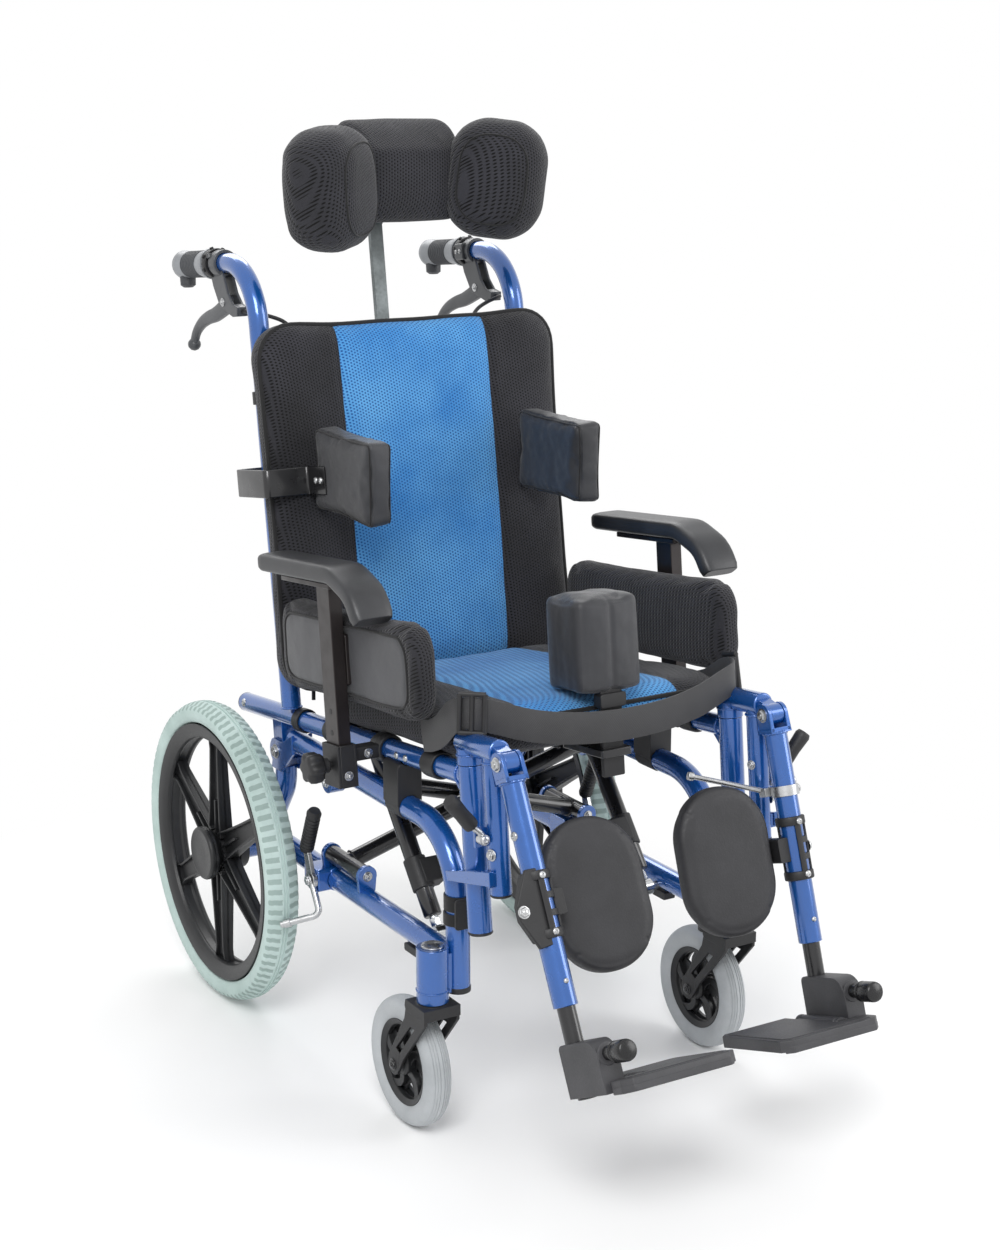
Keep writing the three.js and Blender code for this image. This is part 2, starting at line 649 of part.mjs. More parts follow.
function sideFrame(side) {
  const x = frame_half_width;
  const lowTube = rod(chassis.tube, [x, 0, low_tube_height], [x, -front_upright_ahead, low_tube_height]);
  const topTube = bentTube([
    [x, -chassis.top_tube_rear, top_tube_height], [x, -front_upright_ahead, top_tube_height],
    [x, -front_upright_ahead, chassis.upright_low],
  ], chassis.tube, chassis.bend);
  const upright = bentTube([
    [x, -tilt_pivot_ahead, tilt_pivot_height - chassis.upright_drop],
    [x, -chassis.rear_knee_ahead, tilt_pivot_height - chassis.rear_knee_drop],
    [x, 0, chassis.rear_foot],
  ], chassis.tube, chassis.rear_bend);
  const boss = rod(axle.boss_radius, [axle.boss_inner, 0, rear_wheel.radius],
    [rear_wheel.centre_out - rear_wheel.hub_inner - seat_gap, 0, rear_wheel.radius]);
  const pin = rod(axle.radius, [x, 0, rear_wheel.radius], [axle.end_out, 0, rear_wheel.radius]);
  const ahead = chassis.top_tube_rear + overrun;
  const [py, pz] = [-tilt_pivot_ahead, tilt_pivot_height];
  const cheekLow = pz - chassis.upright_drop - chassis.pivot_head;
  const outline = [
    [-ahead, top_tube_height + chassis.tube - seat_gap], [-ahead, top_tube_height - chassis.tube],
    [py - chassis.tube, cheekLow], [py + chassis.tube, cheekLow],
    [py + chassis.tube + chassis.cheek_thickness, pz], [py + chassis.pivot_pin, pz + chassis.tube],
    [py - chassis.tube, pz + chassis.tube + chassis.cheek_thickness],
  ];
  const cheeks = [-1, 1].map((way) => {
    const near = x + way * chassis.cheek_inner;
    const far = near + way * chassis.cheek_thickness;
    return sidePlate(outline, Math.min(near, far), Math.max(near, far));
  });
  const pinReach = chassis.cheek_inner + chassis.cheek_thickness;
  const pivot = rod(chassis.pivot_pin, [x - pinReach, py, pz], [x + pinReach, py, pz]);
  const heads = rod(chassis.pivot_head, [x + pinReach - overlap, py, pz],
    [x + pinReach + chassis.head_thickness, py, pz], small_sides);
  const house = rod(caster.housing_radius, [caster.out, -caster.stem_ahead, caster.housing_low],
    [caster.out, -caster.stem_ahead, caster.housing_high], round_sides);
  const web = block([chassis.web_inner, chassis.web_outer],
    [-caster.stem_ahead - chassis.web_half, -caster.stem_ahead + chassis.web_half],
    [chassis.upright_low, low_tube_height + chassis.tube]);
  const bore = rod(caster.stem_radius + running_gap,
    [caster.out, -caster.stem_ahead, caster.housing_low - overrun],
    [caster.out, -caster.stem_ahead, caster.housing_high + overrun], round_sides);
  const sleeve = side === "right" ? brace.right_sleeve : brace.left_sleeve;
  const ears = [braceEar(sleeve - brace.sleeve_half), braceEar(sleeve + brace.sleeve_half)];
  const plane = side === "right" ? brace.left_plane : brace.right_plane;
  const lug = rod(brace.lug_radius, [brace.lug_inner, -plane, brace.top_height],
    [brace.lug_outer, -plane, brace.top_height], small_sides);
  const hangerPlate = block([brace.lug_inner, brace.lug_outer],
    [-plane - brace.hanger_half, -plane + brace.hanger_half],
    [brace.top_height, top_tube_height].sort((low, high) => low - high));
  const bolt = rod(brace.bolt_radius, [brace.lug_outer - brace.bolt_head, -plane, brace.top_height],
    [brace.lug_outer + brace.bolt_head, -plane, brace.top_height], hex_sides);
  const lockClamp = block([lock.clamp_inner, lock.clamp_outer], [-lock.clamp_front, -lock.clamp_rear],
    [lock.clamp_low, lock.clamp_high]);
  const lockPin = rod(lock.pin, [x, -lock.pivot_ahead, lock.pivot_height],
    [lock.pin_end, -lock.pivot_ahead, lock.pivot_height]);
  const strutPin = rod(strut.pin, [x, -strut.low_ahead, strut.low_height],
    [strut.pin_inner, -strut.low_ahead, strut.low_height]);
  const strutHead = rod(strut.low_head, [strut.pin_inner - strut.head_thickness, -strut.low_ahead,
    strut.low_height],
    [strut.pin_inner + seat_gap, -strut.low_ahead, strut.low_height]);
  const rest = block([x - saddle.half_width, x + saddle.half_width],
    [-saddle.ahead - saddle.half_length, -saddle.ahead + saddle.half_length],
    [top_tube_height + saddle.foot_rise, top_tube_height + saddle.height]);
  const railLine = rod(seat.rail + seat_gap, [x, seat.rail_rear, seat.rail_above],
    [x, -seat.post_forward, seat.rail_above]);
  railLine.rotateX(seatFrame.rotation.x).translate(0, -tilt_pivot_ahead, tilt_pivot_height);
  const frame = join(lowTube, topTube, upright, boss, pin, ...cheeks, pivot, heads, house, web, ...ears,
    lug,
    hangerPlate, bolt, lockClamp, lockPin, strutPin, strutHead, rest);
  return cut(frame, bore, railLine);
}

function braceSolid(plane, sleeveCentre) {
  const height = low_tube_height + brace.sleeve_rise;
  const x = frame_half_width;
  const half = brace.sleeve_half - brace.ear_half - seat_gap;
  const sleeve = rod(brace.tube, [x, -sleeveCentre - half, height], [x, -sleeveCentre + half, height]);
  const tube = rod(brace.tube, [x, -plane, height], [-brace.top_reach, -plane, brace.top_height]);
  const disc = rod(brace.disc_radius, [-brace.disc_inner, -plane, brace.top_height],
    [-brace.lug_inner + seat_gap, -plane, brace.top_height]);
  return join(sleeve, tube, disc);
}

function bracePin() {
  const share = frame_half_width / (frame_half_width + brace.top_reach);
  const low = low_tube_height + brace.sleeve_rise;
  const height = low + (brace.top_height - low) * share;
  return rod(brace.pin_radius, [0, -brace.right_plane, height],
    [0, -brace.left_plane - brace.tube - seat_gap, height]);
}

function lockLever() {
  const near = lock.clamp_outer + seat_gap;
  const far = near + lock.plate_thickness;
  const x = (near + far) / 2;
  const pivot = [-lock.pivot_ahead, lock.pivot_height];
  const hub = rod(lock.hub, [near, ...pivot], [far, ...pivot]);
  const arm = ribbon([[x, ...pivot], [x, -lock.grip_low_ahead, lock.grip_low_height]],
    2 * lock.arm_half, lock.plate_thickness, [0, 1, 0]);
  const handle = rod(lock.grip_radius, [x, -lock.grip_low_ahead, lock.grip_low_height - lock.shoe_radius],
    [x, -lock.grip_top_ahead, lock.grip_top_height]);
  const shoeStart = near + lock.shoe_radius + seat_gap;
  const shoe = bentTube([[shoeStart, ...pivot], [shoeStart, -lock.shoe_knee_ahead, lock.shoe_knee_height],
    [lock.shoe_out, -lock.shoe_ahead, lock.shoe_height]], lock.shoe_radius, lock.shoe_radius * 2,
    small_sides);
  const bore = rod(lock.pin + running_gap, [near - overrun, ...pivot], [far + overrun, ...pivot]);
  return cut(join(hub, arm, handle, shoe), bore);
}

for (const side of sides) {
  const group = mirrored(chair, side);
  addPart(group, `${side}_side_frame`, sideFrame(side), blue_paint);
  const own = side === "right";
  const solid = braceSolid(own ? brace.right_plane : brace.left_plane,
    own ? brace.right_sleeve : brace.left_sleeve);
  addPart(group, `${side}_cross_brace`, own ? join(solid, bracePin()) : solid, black_steel);
  addPart(group, `${side}_wheel_lock_lever`, lockLever(), black_steel);
}

// Rear wheels, built about their own centre and placed on the axles
function rearTyre() {
  const w = rear_wheel;
  const half = w.tyre_width / 2;
  const right = [[w.tyre_seat + seat_gap, w.tyre_foot], [w.tyre_shoulder, half],
    [w.tyre_crown, w.crown_half],
    [w.radius, w.tread_half]];
  const left = right.map(([r, x]) => [r, -x]).reverse();
  return wheelRing([...right, ...left], w.ring_segments);
}

function rearRim() {
  const w = rear_wheel;
  const ring = wheelRing([[w.rim_inner, w.rim_lip], [w.rim_step, w.rim_half_width],
    [w.tyre_seat, w.rim_half_width],
    [w.tyre_seat, -w.rim_half_width], [w.rim_step, -w.rim_half_width], [w.rim_inner, -w.rim_lip]],
    w.ring_segments);
  const hub = rod(w.hub_radius, [-w.hub_inner, 0, 0], [w.hub_outer + overlap, 0, 0], w.hub_segments);
  const capProfile = [[0, w.hub_outer], [w.cap_radius, w.hub_outer],
    [w.cap_radius, w.hub_outer + w.cap_thickness / 2],
    [w.cap_edge, w.hub_outer + w.cap_thickness], [0, w.hub_outer + w.cap_thickness]];
  const cap = lathe(capProfile, w.hub_segments).rotateZ(-Math.PI / 2);
  const spokes = [];
  for (let i = 0; i < w.spoke_count; i += 1) {
    const outline = [[-w.spoke_half_root, w.spoke_root], [w.spoke_half_root, w.spoke_root],
      [w.spoke_half_tip, w.rim_inner + w.rim_lip / 2], [-w.spoke_half_tip, w.rim_inner + w.rim_lip / 2]];
    const blade = sidePlate(outline, -w.spoke_depth / 2, w.spoke_depth / 2);
    spokes.push(blade.rotateX((2 * Math.PI * i) / w.spoke_count));
  }
  const bore = rod(axle.radius + running_gap, [-w.hub_inner - overrun, 0, 0],
    [axle.end_out - w.centre_out + 2 * running_gap, 0, 0]);
  return cut(join(ring, hub, cap, ...spokes), bore);
}

const rearTyreShape = rearTyre();
const rearRimShape = rearRim();
for (const side of sides) {
  const group = mirrored(chair, side);
  for (const [name, shape, material] of [["rear_tyre", rearTyreShape, green_tyre],
    ["rear_rim", rearRimShape, black_plastic]]) {
    const mesh = addPart(group, `${side}_${name}`, shape, material);
    mesh.position.set(rear_wheel.centre_out, 0, rear_wheel.radius);
  }
}

// Casters
function casterFork() {
  const c = caster;
  const [y, z] = [-(c.stem_ahead - c.trail), c.radius];
  const stem = rod(c.stem_radius, [c.out, -c.stem_ahead, c.crown_top - overlap],
    [c.out, -c.stem_ahead, c.stem_top],
    round_sides);
  const legOuter = c.leg_inner + c.leg_thickness;
  const crown = block([c.out - legOuter, c.out + legOuter],
    [-c.stem_ahead - c.crown_half, -c.stem_ahead + c.crown_half],
    [c.crown_top - c.crown_thickness, c.crown_top]);
  const r = c.hub_radius - c.leg_thickness;
  const outline = [[-c.stem_ahead - c.crown_half, c.crown_top], [-c.stem_ahead + c.crown_half, c.crown_top],
    [-c.stem_ahead + c.crown_half + c.leg_thickness, c.crown_top - 2 * c.crown_thickness],
    [y + r, z + r], [y + r, z - r / 2], [y, z - r], [y - r, z - r / 2],
    [-c.stem_ahead - c.crown_half / 4, c.crown_top - 3 * c.crown_thickness],
    [-c.stem_ahead - c.crown_half, c.crown_top - c.crown_thickness]];
  const shape = new THREE.Shape(outline.map(([a, b]) => new THREE.Vector2(a, b)));
  const slotTop = [-c.stem_ahead + c.crown_half / 2, c.crown_top - c.slot_top_share * c.crown_thickness];
  const slotLow = [y - c.leg_thickness, z + 2 * r];
  const slot = new THREE.Path([[slotTop[0] - c.leg_thickness, slotTop[1]],
    [slotLow[0] - c.leg_thickness, slotLow[1]],
    [slotLow[0] + c.leg_thickness, slotLow[1]], [slotTop[0] + c.leg_thickness, slotTop[1]]]
    .map(([a, b]) => new THREE.Vector2(a, b)));
  shape.holes.push(slot);
  const legs = [sideSolid(shape, c.out - legOuter, c.out - c.leg_inner),
    sideSolid(shape, c.out + c.leg_inner, c.out + legOuter)];
  const pin = rod(c.axle_radius, [c.out - c.axle_half, y, z], [c.out + c.axle_half, y, z]);
  return join(stem, crown, ...legs, pin);
}

function casterWheel() {
  const c = caster;
  const right = [[c.rim_inner, c.rim_half], [c.tread_edge, c.width / 2], [c.tread_round, c.round_half],
    [c.radius, c.flat_half]];
  const ring = wheelRing([...right, ...right.map(([r, x]) => [r, -x]).reverse()], c.segments);
  const hub = rod(c.hub_radius, [-c.hub_half, 0, 0], [c.hub_half, 0, 0], c.segments / 2);
  const spokes = [];
  for (let i = 0; i < c.spoke_count; i += 1) {
    const spoke = block([-c.spoke_depth, c.spoke_depth], [-c.spoke_half, c.spoke_half],
      [c.hub_radius / 2, c.rim_inner + c.spoke_half / 2]);
    spokes.push(spoke.rotateX((2 * Math.PI * i) / c.spoke_count));
  }
  const bore = rod(c.axle_radius + running_gap, [-c.width, 0, 0], [c.width, 0, 0]);
  return cut(join(ring, hub, ...spokes), bore);
}

const forkShape = casterFork();
const casterWheelShape = casterWheel();
for (const side of sides) {
  const group = mirrored(chair, side);
  addPart(group, `${side}_caster_fork`, forkShape, black_plastic);
  const wheel = addPart(group, `${side}_caster_wheel`, casterWheelShape, pale_tyre);
  wheel.position.set(caster.out, -(caster.stem_ahead - caster.trail), caster.radius);
}

// Gas struts, built along their own axis from the lower eye
const strutTop = new THREE.Vector3(strut.out, -strut.seat_forward, strut.seat_above)
  .applyEuler(seatFrame.rotation).add(seatFrame.position);
const strutRun = strutTop.clone().sub(new THREE.Vector3(strut.out, -strut.low_ahead, strut.low_height));
const strutLength = strutRun.length();
const strutLean = Math.atan2(strutRun.y, strutRun.z);

function strutRod() {
  const eye = rod(strut.low_eye, [-strut.eye_half, 0, 0], [strut.eye_half, 0, 0]);
  const nut = rod(strut.nut, [0, 0, strut.low_eye - overlap], [0, 0, strut.low_eye + strut.nut_length],
    hex_sides);
  const bar = rod(strut.rod, [0, 0, 0], [0, 0, strut.rod_end], small_sides);
  const bore = rod(strut.pin + running_gap, [-overrun, 0, 0], [overrun, 0, 0]);
  return cut(join(eye, nut, bar), bore);
}

function strutCylinder() {
  const eye = rod(strut.high_eye, [-strut.eye_half, 0, strutLength], [strut.eye_half, 0, strutLength],
    tube_sides);
  const body = rod(strut.cylinder, [0, 0, strut.cylinder_start], [0, 0, strutLength - strut.neck_length]);
  const neck = rod(strut.neck, [0, 0, strutLength - 2 * strut.neck_length],
    [0, 0, strutLength - strut.high_bore]);
  const bore = rod(strut.bore, [0, 0, 0], [0, 0, strut.bore_end], small_sides);
  const eyeBore = rod(strut.high_bore, [-overrun, 0, strutLength], [overrun, 0, strutLength]);
  return cut(join(eye, body, neck), bore, eyeBore);
}

const strutRodShape = strutRod();
const strutCylinderShape = strutCylinder();
for (const side of sides) {
  const group = mirrored(chair, side);
  for (const [name, shape, material] of [["strut_rod", strutRodShape, bright_steel],
    ["strut_cylinder", strutCylinderShape, black_steel]]) {
    const mesh = addPart(group, `${side}_${name}`, shape, material);
    mesh.position.set(strut.out, -strut.low_ahead, strut.low_height);
    mesh.rotation.x = -strutLean;
  }
}

// Seat frame
function seatRail() {
  const x = frame_half_width;
  const rail = rod(seat.rail, [x, seat.rail_rear, seat.rail_above],
    [x, -seat.post_forward, seat.rail_above]);
  const post = rod(seat.post, [x, -seat.post_forward, -seat.post_low],
    [x, -seat.post_forward, seat.post_high]);
  const pin = rod(seat.post_pin, [x, -seat.post_forward, 0], [x, -seat.post_forward, seat.post_pin_top]);
  const lugRound = rod(seat.lug_radius, [x - seat.lug_half, 0, 0], [x + seat.lug_half, 0, 0], round_sides);
  const lugPlate = block([x - seat.lug_half, x + seat.lug_half], [-seat.lug_radius, seat.lug_radius],
    [0, seat.rail_above]);
  const gusset = sidePlate([[-seat.post_forward, seat.rail_above],
    [-seat.post_forward + seat.gusset_back, seat.rail_above],
    [-seat.post_forward, seat.rail_above - seat.gusset_drop - seat.rail]], x - seat.gusset_half,
    x + seat.gusset_half);
  const strutPin = rod(strut.pin, [x, -strut.seat_forward, strut.seat_above],
    [strut.pin_inner, -strut.seat_forward, strut.seat_above]);
  const strutHead = rod(strut.head, [strut.pin_inner - strut.head_thickness, -strut.seat_forward,
    strut.seat_above],
    [strut.pin_inner + seat_gap, -strut.seat_forward, strut.seat_above]);
  const bore = rod(chassis.pivot_pin + running_gap, [0, 0, 0], [2 * x, 0, 0]);
  return cut(join(rail, post, pin, lugRound, lugPlate, gusset, strutPin, strutHead), bore);
}

function seatBase() {
  const s = seat;
  const pan = block([-s.pan_half, s.pan_half], [-s.pan_front, -s.pan_rear], [s.pan_low, s.pan_high]);
  const bars = [s.cross_front, s.cross_rear].map((forward) => rod(s.cross,
    [-s.cross_half, -forward, s.cross_height], [s.cross_half, -forward, s.cross_height]));
  const socket = block([-s.socket_half, s.socket_half], [-s.socket_front, -s.pan_front + s.socket_half],
    [s.socket_low, s.pan_low + overlap]);
  const slot = block([-pommel.stem_half - running_gap, pommel.stem_half + running_gap],
    [-pommel.stem_front - running_gap, -pommel.stem_rear + running_gap],
    [s.socket_low - overrun, s.pan_high + overrun]);
  return cut(join(pan, ...bars, socket), slot);
}

function cushionShape() {
  const c = cushion;
  const half = (c.front - c.rear) / 2;
  const shape = pad({ halfX: c.half_width, halfY: half, thickness: c.thickness, edge: c.edge,
    corner: c.corner,
    crown: c.crown, drawIn: c.draw_in, channels: [c.half_width * c.channel_share],
    channelWidth: c.channel_width,
    channelDepth: c.channel_depth, innerX: 2, innerY: 3, edgeShares: round_edge_shares });
  return shape.translate(0, -(c.front + c.rear) / 2, c.low + c.thickness / 2);
}

for (const side of sides) {
  addPart(mirrored(seatFrame, side), `${side}_seat_rail`, seatRail(), blue_paint);
}
addPart(seatFrame, "seat_base", seatBase(), black_steel);
addPart(seatFrame, "seat_cushion", cushionShape(), blue_mesh);

// Back
const cable_top = back.corner_height - brake.cable_drop;
const brake_pivot = [brake.pivot_back, back.corner_height - brake.pivot_drop];
const mid_bar = back.corner_height * back.mid_bar_share;
const high_bar = back.corner_height - back.high_bar_drop;

function backCane() {
  const x = back.cane_out;
  const tube = bentTube([[x, 0, 0], [x, 0, back.corner_height],
    [x, back.top_reach, back.corner_height + back.top_rise]], back.cane, back.bend);
  const clamp = brakeTube(brake.clamp_radius, brake.clamp_start, brake.clamp_end);
  const [py, pz] = brake_pivot;
  const outline = [[brake.clamp_start, back.corner_height], [brake.clamp_end, back.corner_height],
    [py + brake.hub, pz - brake.nose], [py, pz - brake.hub], [brake.cable_back, cable_top - brake.nose],
    [brake.cable_back - brake.nose, cable_top + brake.nose], [py - 2 * brake.hub, pz + brake.nose]];
  const cheeks = [-1, 1].map((way) => {
    const near = x + way * brake.cheek_inner;
    const far = near + way * brake.cheek_thickness;
    return sidePlate(outline, Math.min(near, far), Math.max(near, far));
  });
  const reach = brake.cheek_inner + brake.cheek_thickness;
  const pin = rod(brake.pin, [x - reach, py, pz], [x + reach, py, pz], small_sides);
  const nose = rod(brake.nose, [x, brake.cable_back, cable_top],
    [x, brake.cable_back + 2 * brake.nose, cable_top + brake.nose / 2], small_sides);
  return join(tube, clamp, ...cheeks, pin, nose);
}

function brakeLever() {
  const x = back.cane_out;
  const [py, pz] = brake_pivot;
  const half = brake.cheek_inner - running_gap;
  const hub = rod(brake.hub, [x - half, py, pz], [x + half, py, pz]);
  const span = brake.clamp_end - brake.clamp_start;
  const path = [[x, py, pz - brake.pin], [x, py + span, pz - brake.knee_drop],
    [x, py + brake.knee_share * span, pz - brake.knee_drop],
    [x, py + brake.tip_share * span, pz - brake.tip_drop]];
  const arm = bentTube(path, half, brake.lever_bend, small_sides);
  const tip = path[path.length - 1];
  const ball = new THREE.SphereGeometry(brake.ball, small_sides, small_sides / 2).translate(...tip);
  const bore = rod(brake.pin + running_gap, [x - overrun, py, pz], [x + overrun, py, pz], small_sides);
  return cut(join(hub, arm, ball), bore);
}

function pushGrip() {
  const g = grip;
  const bore = back.cane + seat_gap;
  const depth = back.top_reach - g.start + seat_gap;
  const profile = [[0, depth], [bore, depth], [bore, 0], [g.radius, 0],
    [g.radius, g.length - g.nose_length],
    [g.nose, g.length], [0, g.length]];
  const shape = lathe(profile, round_sides);
  const rise = Math.atan2(back.top_rise, back.top_reach);
  shape.rotateX(rise);
  const startRise = (g.start * back.top_rise) / back.top_reach;
  return shape.translate(back.cane_out, g.start, back.corner_height + startRise);
}

function strapShape() {
  const s = lateral;
  const height = mid_bar;
  const points = [[s.strap_root, back.bar, height], [s.strap_root + back.bar, s.strap_back, height],
    [s.strap_out, s.strap_back, height], [s.strap_out, -s.strap_front, height],
    [s.strap_pad, -s.strap_front, height], [s.strap_pad, -s.strap_tip, height]];
  return ribbon(points, 2 * s.strap_half, s.strap_thickness, [0, 0, 1]);
}

function backBars() {
  const b = back;
  const bars = [b.low_bar, mid_bar, high_bar].map((height) => rod(b.bar,
    [-b.bar_end, 0, height], [b.bar_end, 0, height]));
  const spine = block([-b.spine_half, b.spine_half], [-b.spine_thickness / 2, b.spine_thickness / 2],
    [b.low_bar, high_bar]);
  const clamp = block([-b.clamp_half, b.clamp_half], [0, b.clamp_rear],
    [high_bar - b.clamp_half_height, high_bar + b.clamp_half_height]);
  const gap = running_gap;
  const slot = block([-head.stem_half - gap, head.stem_half + gap],
    [head.stem_back - gap, head.stem_back + head.stem_thickness + gap], [0, high_bar + 2 * overrun]);
  const strap = strapShape();
  const otherStrap = strap.clone().scale(-1, 1, 1);
  const flipped = turnedOut([...otherStrap.attributes.position.array], [...otherStrap.index.array]);
  return cut(join(...bars, spine, clamp, strap, flipped), slot);
}

function backPad() {
  const b = back_pad;
  const high = back.corner_height - b.top_drop;
  const half = (high - b.low) / 2;
  const shape = pad({ halfX: b.half_width, halfY: half, thickness: b.thickness, edge: b.edge,
    corner: b.corner,
    crown: b.crown, drawIn: b.draw_in, channels: [b.half_width * b.channel_share],
    channelWidth: b.channel_width,
    channelDepth: b.channel_depth, innerX: 2, innerY: 3, edgeShares: round_edge_shares });
  return standing(shape).translate(0, -b.rear - b.thickness / 2, (high + b.low) / 2);
}

function cableShape() {
  const points = cable_stops.map((stop) => new THREE.Vector3(back.cane_out - stop.inward, stop.behind,
    cable_top - stop.down_share * (cable_top - cable.low)));
  const curve = new THREE.CatmullRomCurve3(points);
  const section = ringShape(cable.radius, cable.sides);
  return new THREE.ExtrudeGeometry(section, { extrudePath: curve, steps: cable.steps,
    bevelEnabled: false });
}

for (const side of sides) {
  const group = mirrored(backFrame, side);
  addPart(group, `${side}_back_cane`, backCane(), blue_paint);
  addPart(group, `${side}_push_grip`, pushGrip(), grey_rubber);
  addPart(group, `${side}_brake_lever`, brakeLever(), black_plastic);
  addPart(group, `${side}_brake_cable`, cableShape(), black_plastic);
}
addPart(backFrame, "back_frame", backBars(), black_steel);
addPart(backFrame, "back_cushion", backPad(), blue_mesh);

// Trunk supports
function lateralPad() {
  const s = lateral;
  const shape = pad({ halfX: (s.front - s.rear) / 2, halfY: (s.above + s.below) / 2,
    thickness: s.width - s.crown,
    edge: s.edge, corner: s.corner, crown: 0, under: s.crown, innerX: 2, innerY: 1 });
  return sideways(shape.rotateZ(Math.PI / 2)).rotateX(whole_lean)
    .translate(s.inner + (s.crown + s.width) / 2, -(s.front + s.rear) / 2,
      mid_bar + (s.above - s.below) / 2);
}

for (const side of sides) {
  addPart(mirrored(backFrame, side), `${side}_lateral_pad`, lateralPad(), grey_nylon);
}

// Head rest, which stands upright while the back leans
function uprightHead(geometry) {
  const height = back.corner_height + head.centre_rise;
  return geometry.translate(0, -head.centre_back, -height).rotateX(whole_lean).translate(0,
    head.centre_back, height);
}

function headStem() {
  const h = head;
  const top = back.corner_height;
  const rear = h.stem_back + h.stem_thickness;
  const front = h.plate_back + h.plate_thickness;
  const bar = sidePlate([[h.stem_back, top - h.stem_low_drop], [rear, top - h.stem_low_drop],
    [rear, top + h.stem_bend_rise], [front, top + h.neck_rise + h.stem_thickness],
    [front - h.plate_thickness / 2, top + h.neck_rise],
    [h.stem_back, top + h.stem_bend_rise - h.plate_thickness]], -h.stem_half, h.stem_half);
  const plate = block([-h.plate_half, h.plate_half], [h.plate_back, front],
    [top + h.plate_low_rise, top + h.plate_low_rise + h.plate_height]);
  return join(bar, uprightHead(plate));
}

function headPad() {
  const h = head;
  const centre = standing(pad({ halfX: h.centre_half, halfY: h.centre_half_height,
    thickness: h.centre_thickness,
    edge: h.centre_edge, corner: h.centre_corner, crown: 0, innerX: 1, innerY: 1 }))
    .translate(0, h.centre_back, back.corner_height + h.centre_rise);
  const wings = [-1, 1].map((way) => bulge(h.wing_half_length, h.wing_half_depth, h.wing_half_height,
    h.wing_round_share, h.wing_columns, h.wing_rows).rotateZ(-way * radians(h.wing_turn_deg))
    .translate(way * h.wing_out, -h.wing_forward, back.corner_height + h.wing_rise));
  return uprightHead(join(centre, ...wings));
}

addPart(backFrame, "headrest_stem", headStem(), bright_steel);
addPart(backFrame, "headrest_pad", headPad(), black_mesh);

// Arm rests and side guards
function armSocket() {
  const a = arm;
  const [hx, hy] = [a.post_half_x + running_gap, a.post_half_y + running_gap];
  const outer = block([a.post_out - hx - a.socket_wall, a.post_out + hx + a.socket_wall],
    [-a.post_forward - hy - a.socket_wall, -a.post_forward + hy + a.socket_wall],
    [a.socket_low, a.socket_high]);
  const cavity = block([a.post_out - hx, a.post_out + hx], [-a.post_forward - hy, -a.post_forward + hy],
    [a.socket_low - overrun, a.socket_high + overrun]);
  const bar = block([frame_half_width, a.post_out - hx - overlap],
    [-a.post_forward - a.bar_half_y, -a.post_forward + a.bar_half_y],
    [seat.rail_above - a.bar_half_z, seat.rail_above + a.bar_half_z]);
  const ys = [-a.post_forward - a.collar_half, -a.post_forward + a.collar_half];
  const collar = rod(a.collar, [frame_half_width, ys[0], seat.rail_above],
    [frame_half_width, ys[1], seat.rail_above]);
  const rail = rod(seat.rail + seat_gap, [frame_half_width, ys[0] - overrun, seat.rail_above],
    [frame_half_width, ys[1] + overrun, seat.rail_above]);
  const screw = rod(a.knob_stem + 2 * running_gap, [a.post_out + a.post_half_x, -a.post_forward,
    a.knob_height],
    [a.knob_start, -a.post_forward, a.knob_height], small_sides);
  return cut(join(outer, bar, collar), cavity, rail, screw);
}

function armPost() {
  const a = arm;
  const post = block([a.post_out - a.post_half_x, a.post_out + a.post_half_x],
    [-a.post_forward - a.post_half_y, -a.post_forward + a.post_half_y], [a.post_low, a.post_high]);
  const plateHigh = a.pad_low - a.pad_bevel - seat_gap;
  const plate = block([a.post_out - a.plate_half, a.post_out + a.plate_half],
    [-a.plate_front, -a.plate_rear],
    [plateHigh - a.plate_thickness, plateHigh]);
  const boss = rod(a.boss, [guard.inner + guard.width + seat_gap, -a.post_forward, a.boss_height],
    [a.post_out, -a.post_forward, a.boss_height], small_sides);
  return join(post, plate, boss);
}

function armKnob() {
  const a = arm;
  const at = [-a.post_forward, a.knob_height];
  const stem = rod(a.knob_stem, [a.post_out + a.post_half_x + running_gap, ...at],
    [a.knob_start + overlap, ...at], small_sides);
  const outline = [];
  for (let i = 0; i < 2 * a.knob_lobes; i += 1) {
    const turn = (Math.PI * i) / a.knob_lobes;
    const reach = i % 2 === 0 ? a.knob_radius : a.knob_radius - a.knob_flute;
    outline.push([at[0] + reach * Math.cos(turn), at[1] + reach * Math.sin(turn)]);
  }
  const body = sidePlate(outline, a.knob_start, a.knob_start + a.knob_thickness);
  return join(stem, body);
}

function armPad() {
  const a = arm;
  const shape = new THREE.Shape();
  shape.moveTo(-a.pad_rear, a.pad_low);
  shape.lineTo(-a.pad_rear, a.pad_high);
  shape.lineTo(-a.pad_bend, a.pad_high);
  shape.quadraticCurveTo(-a.pad_shoulder, a.pad_high, -a.pad_knee, a.pad_knee_height);
  shape.lineTo(-a.pad_tip, a.pad_tip_height);
  shape.lineTo(-a.pad_heel, a.pad_heel_height);
  shape.lineTo(-a.pad_inner_knee, a.pad_inner_knee_height);
  shape.quadraticCurveTo(-a.pad_inner_knee + a.pad_bevel, a.pad_low, -a.pad_bend, a.pad_low);
  return sideSolid(shape, a.pad_inner, a.pad_inner + a.pad_width, a.pad_bevel);
}

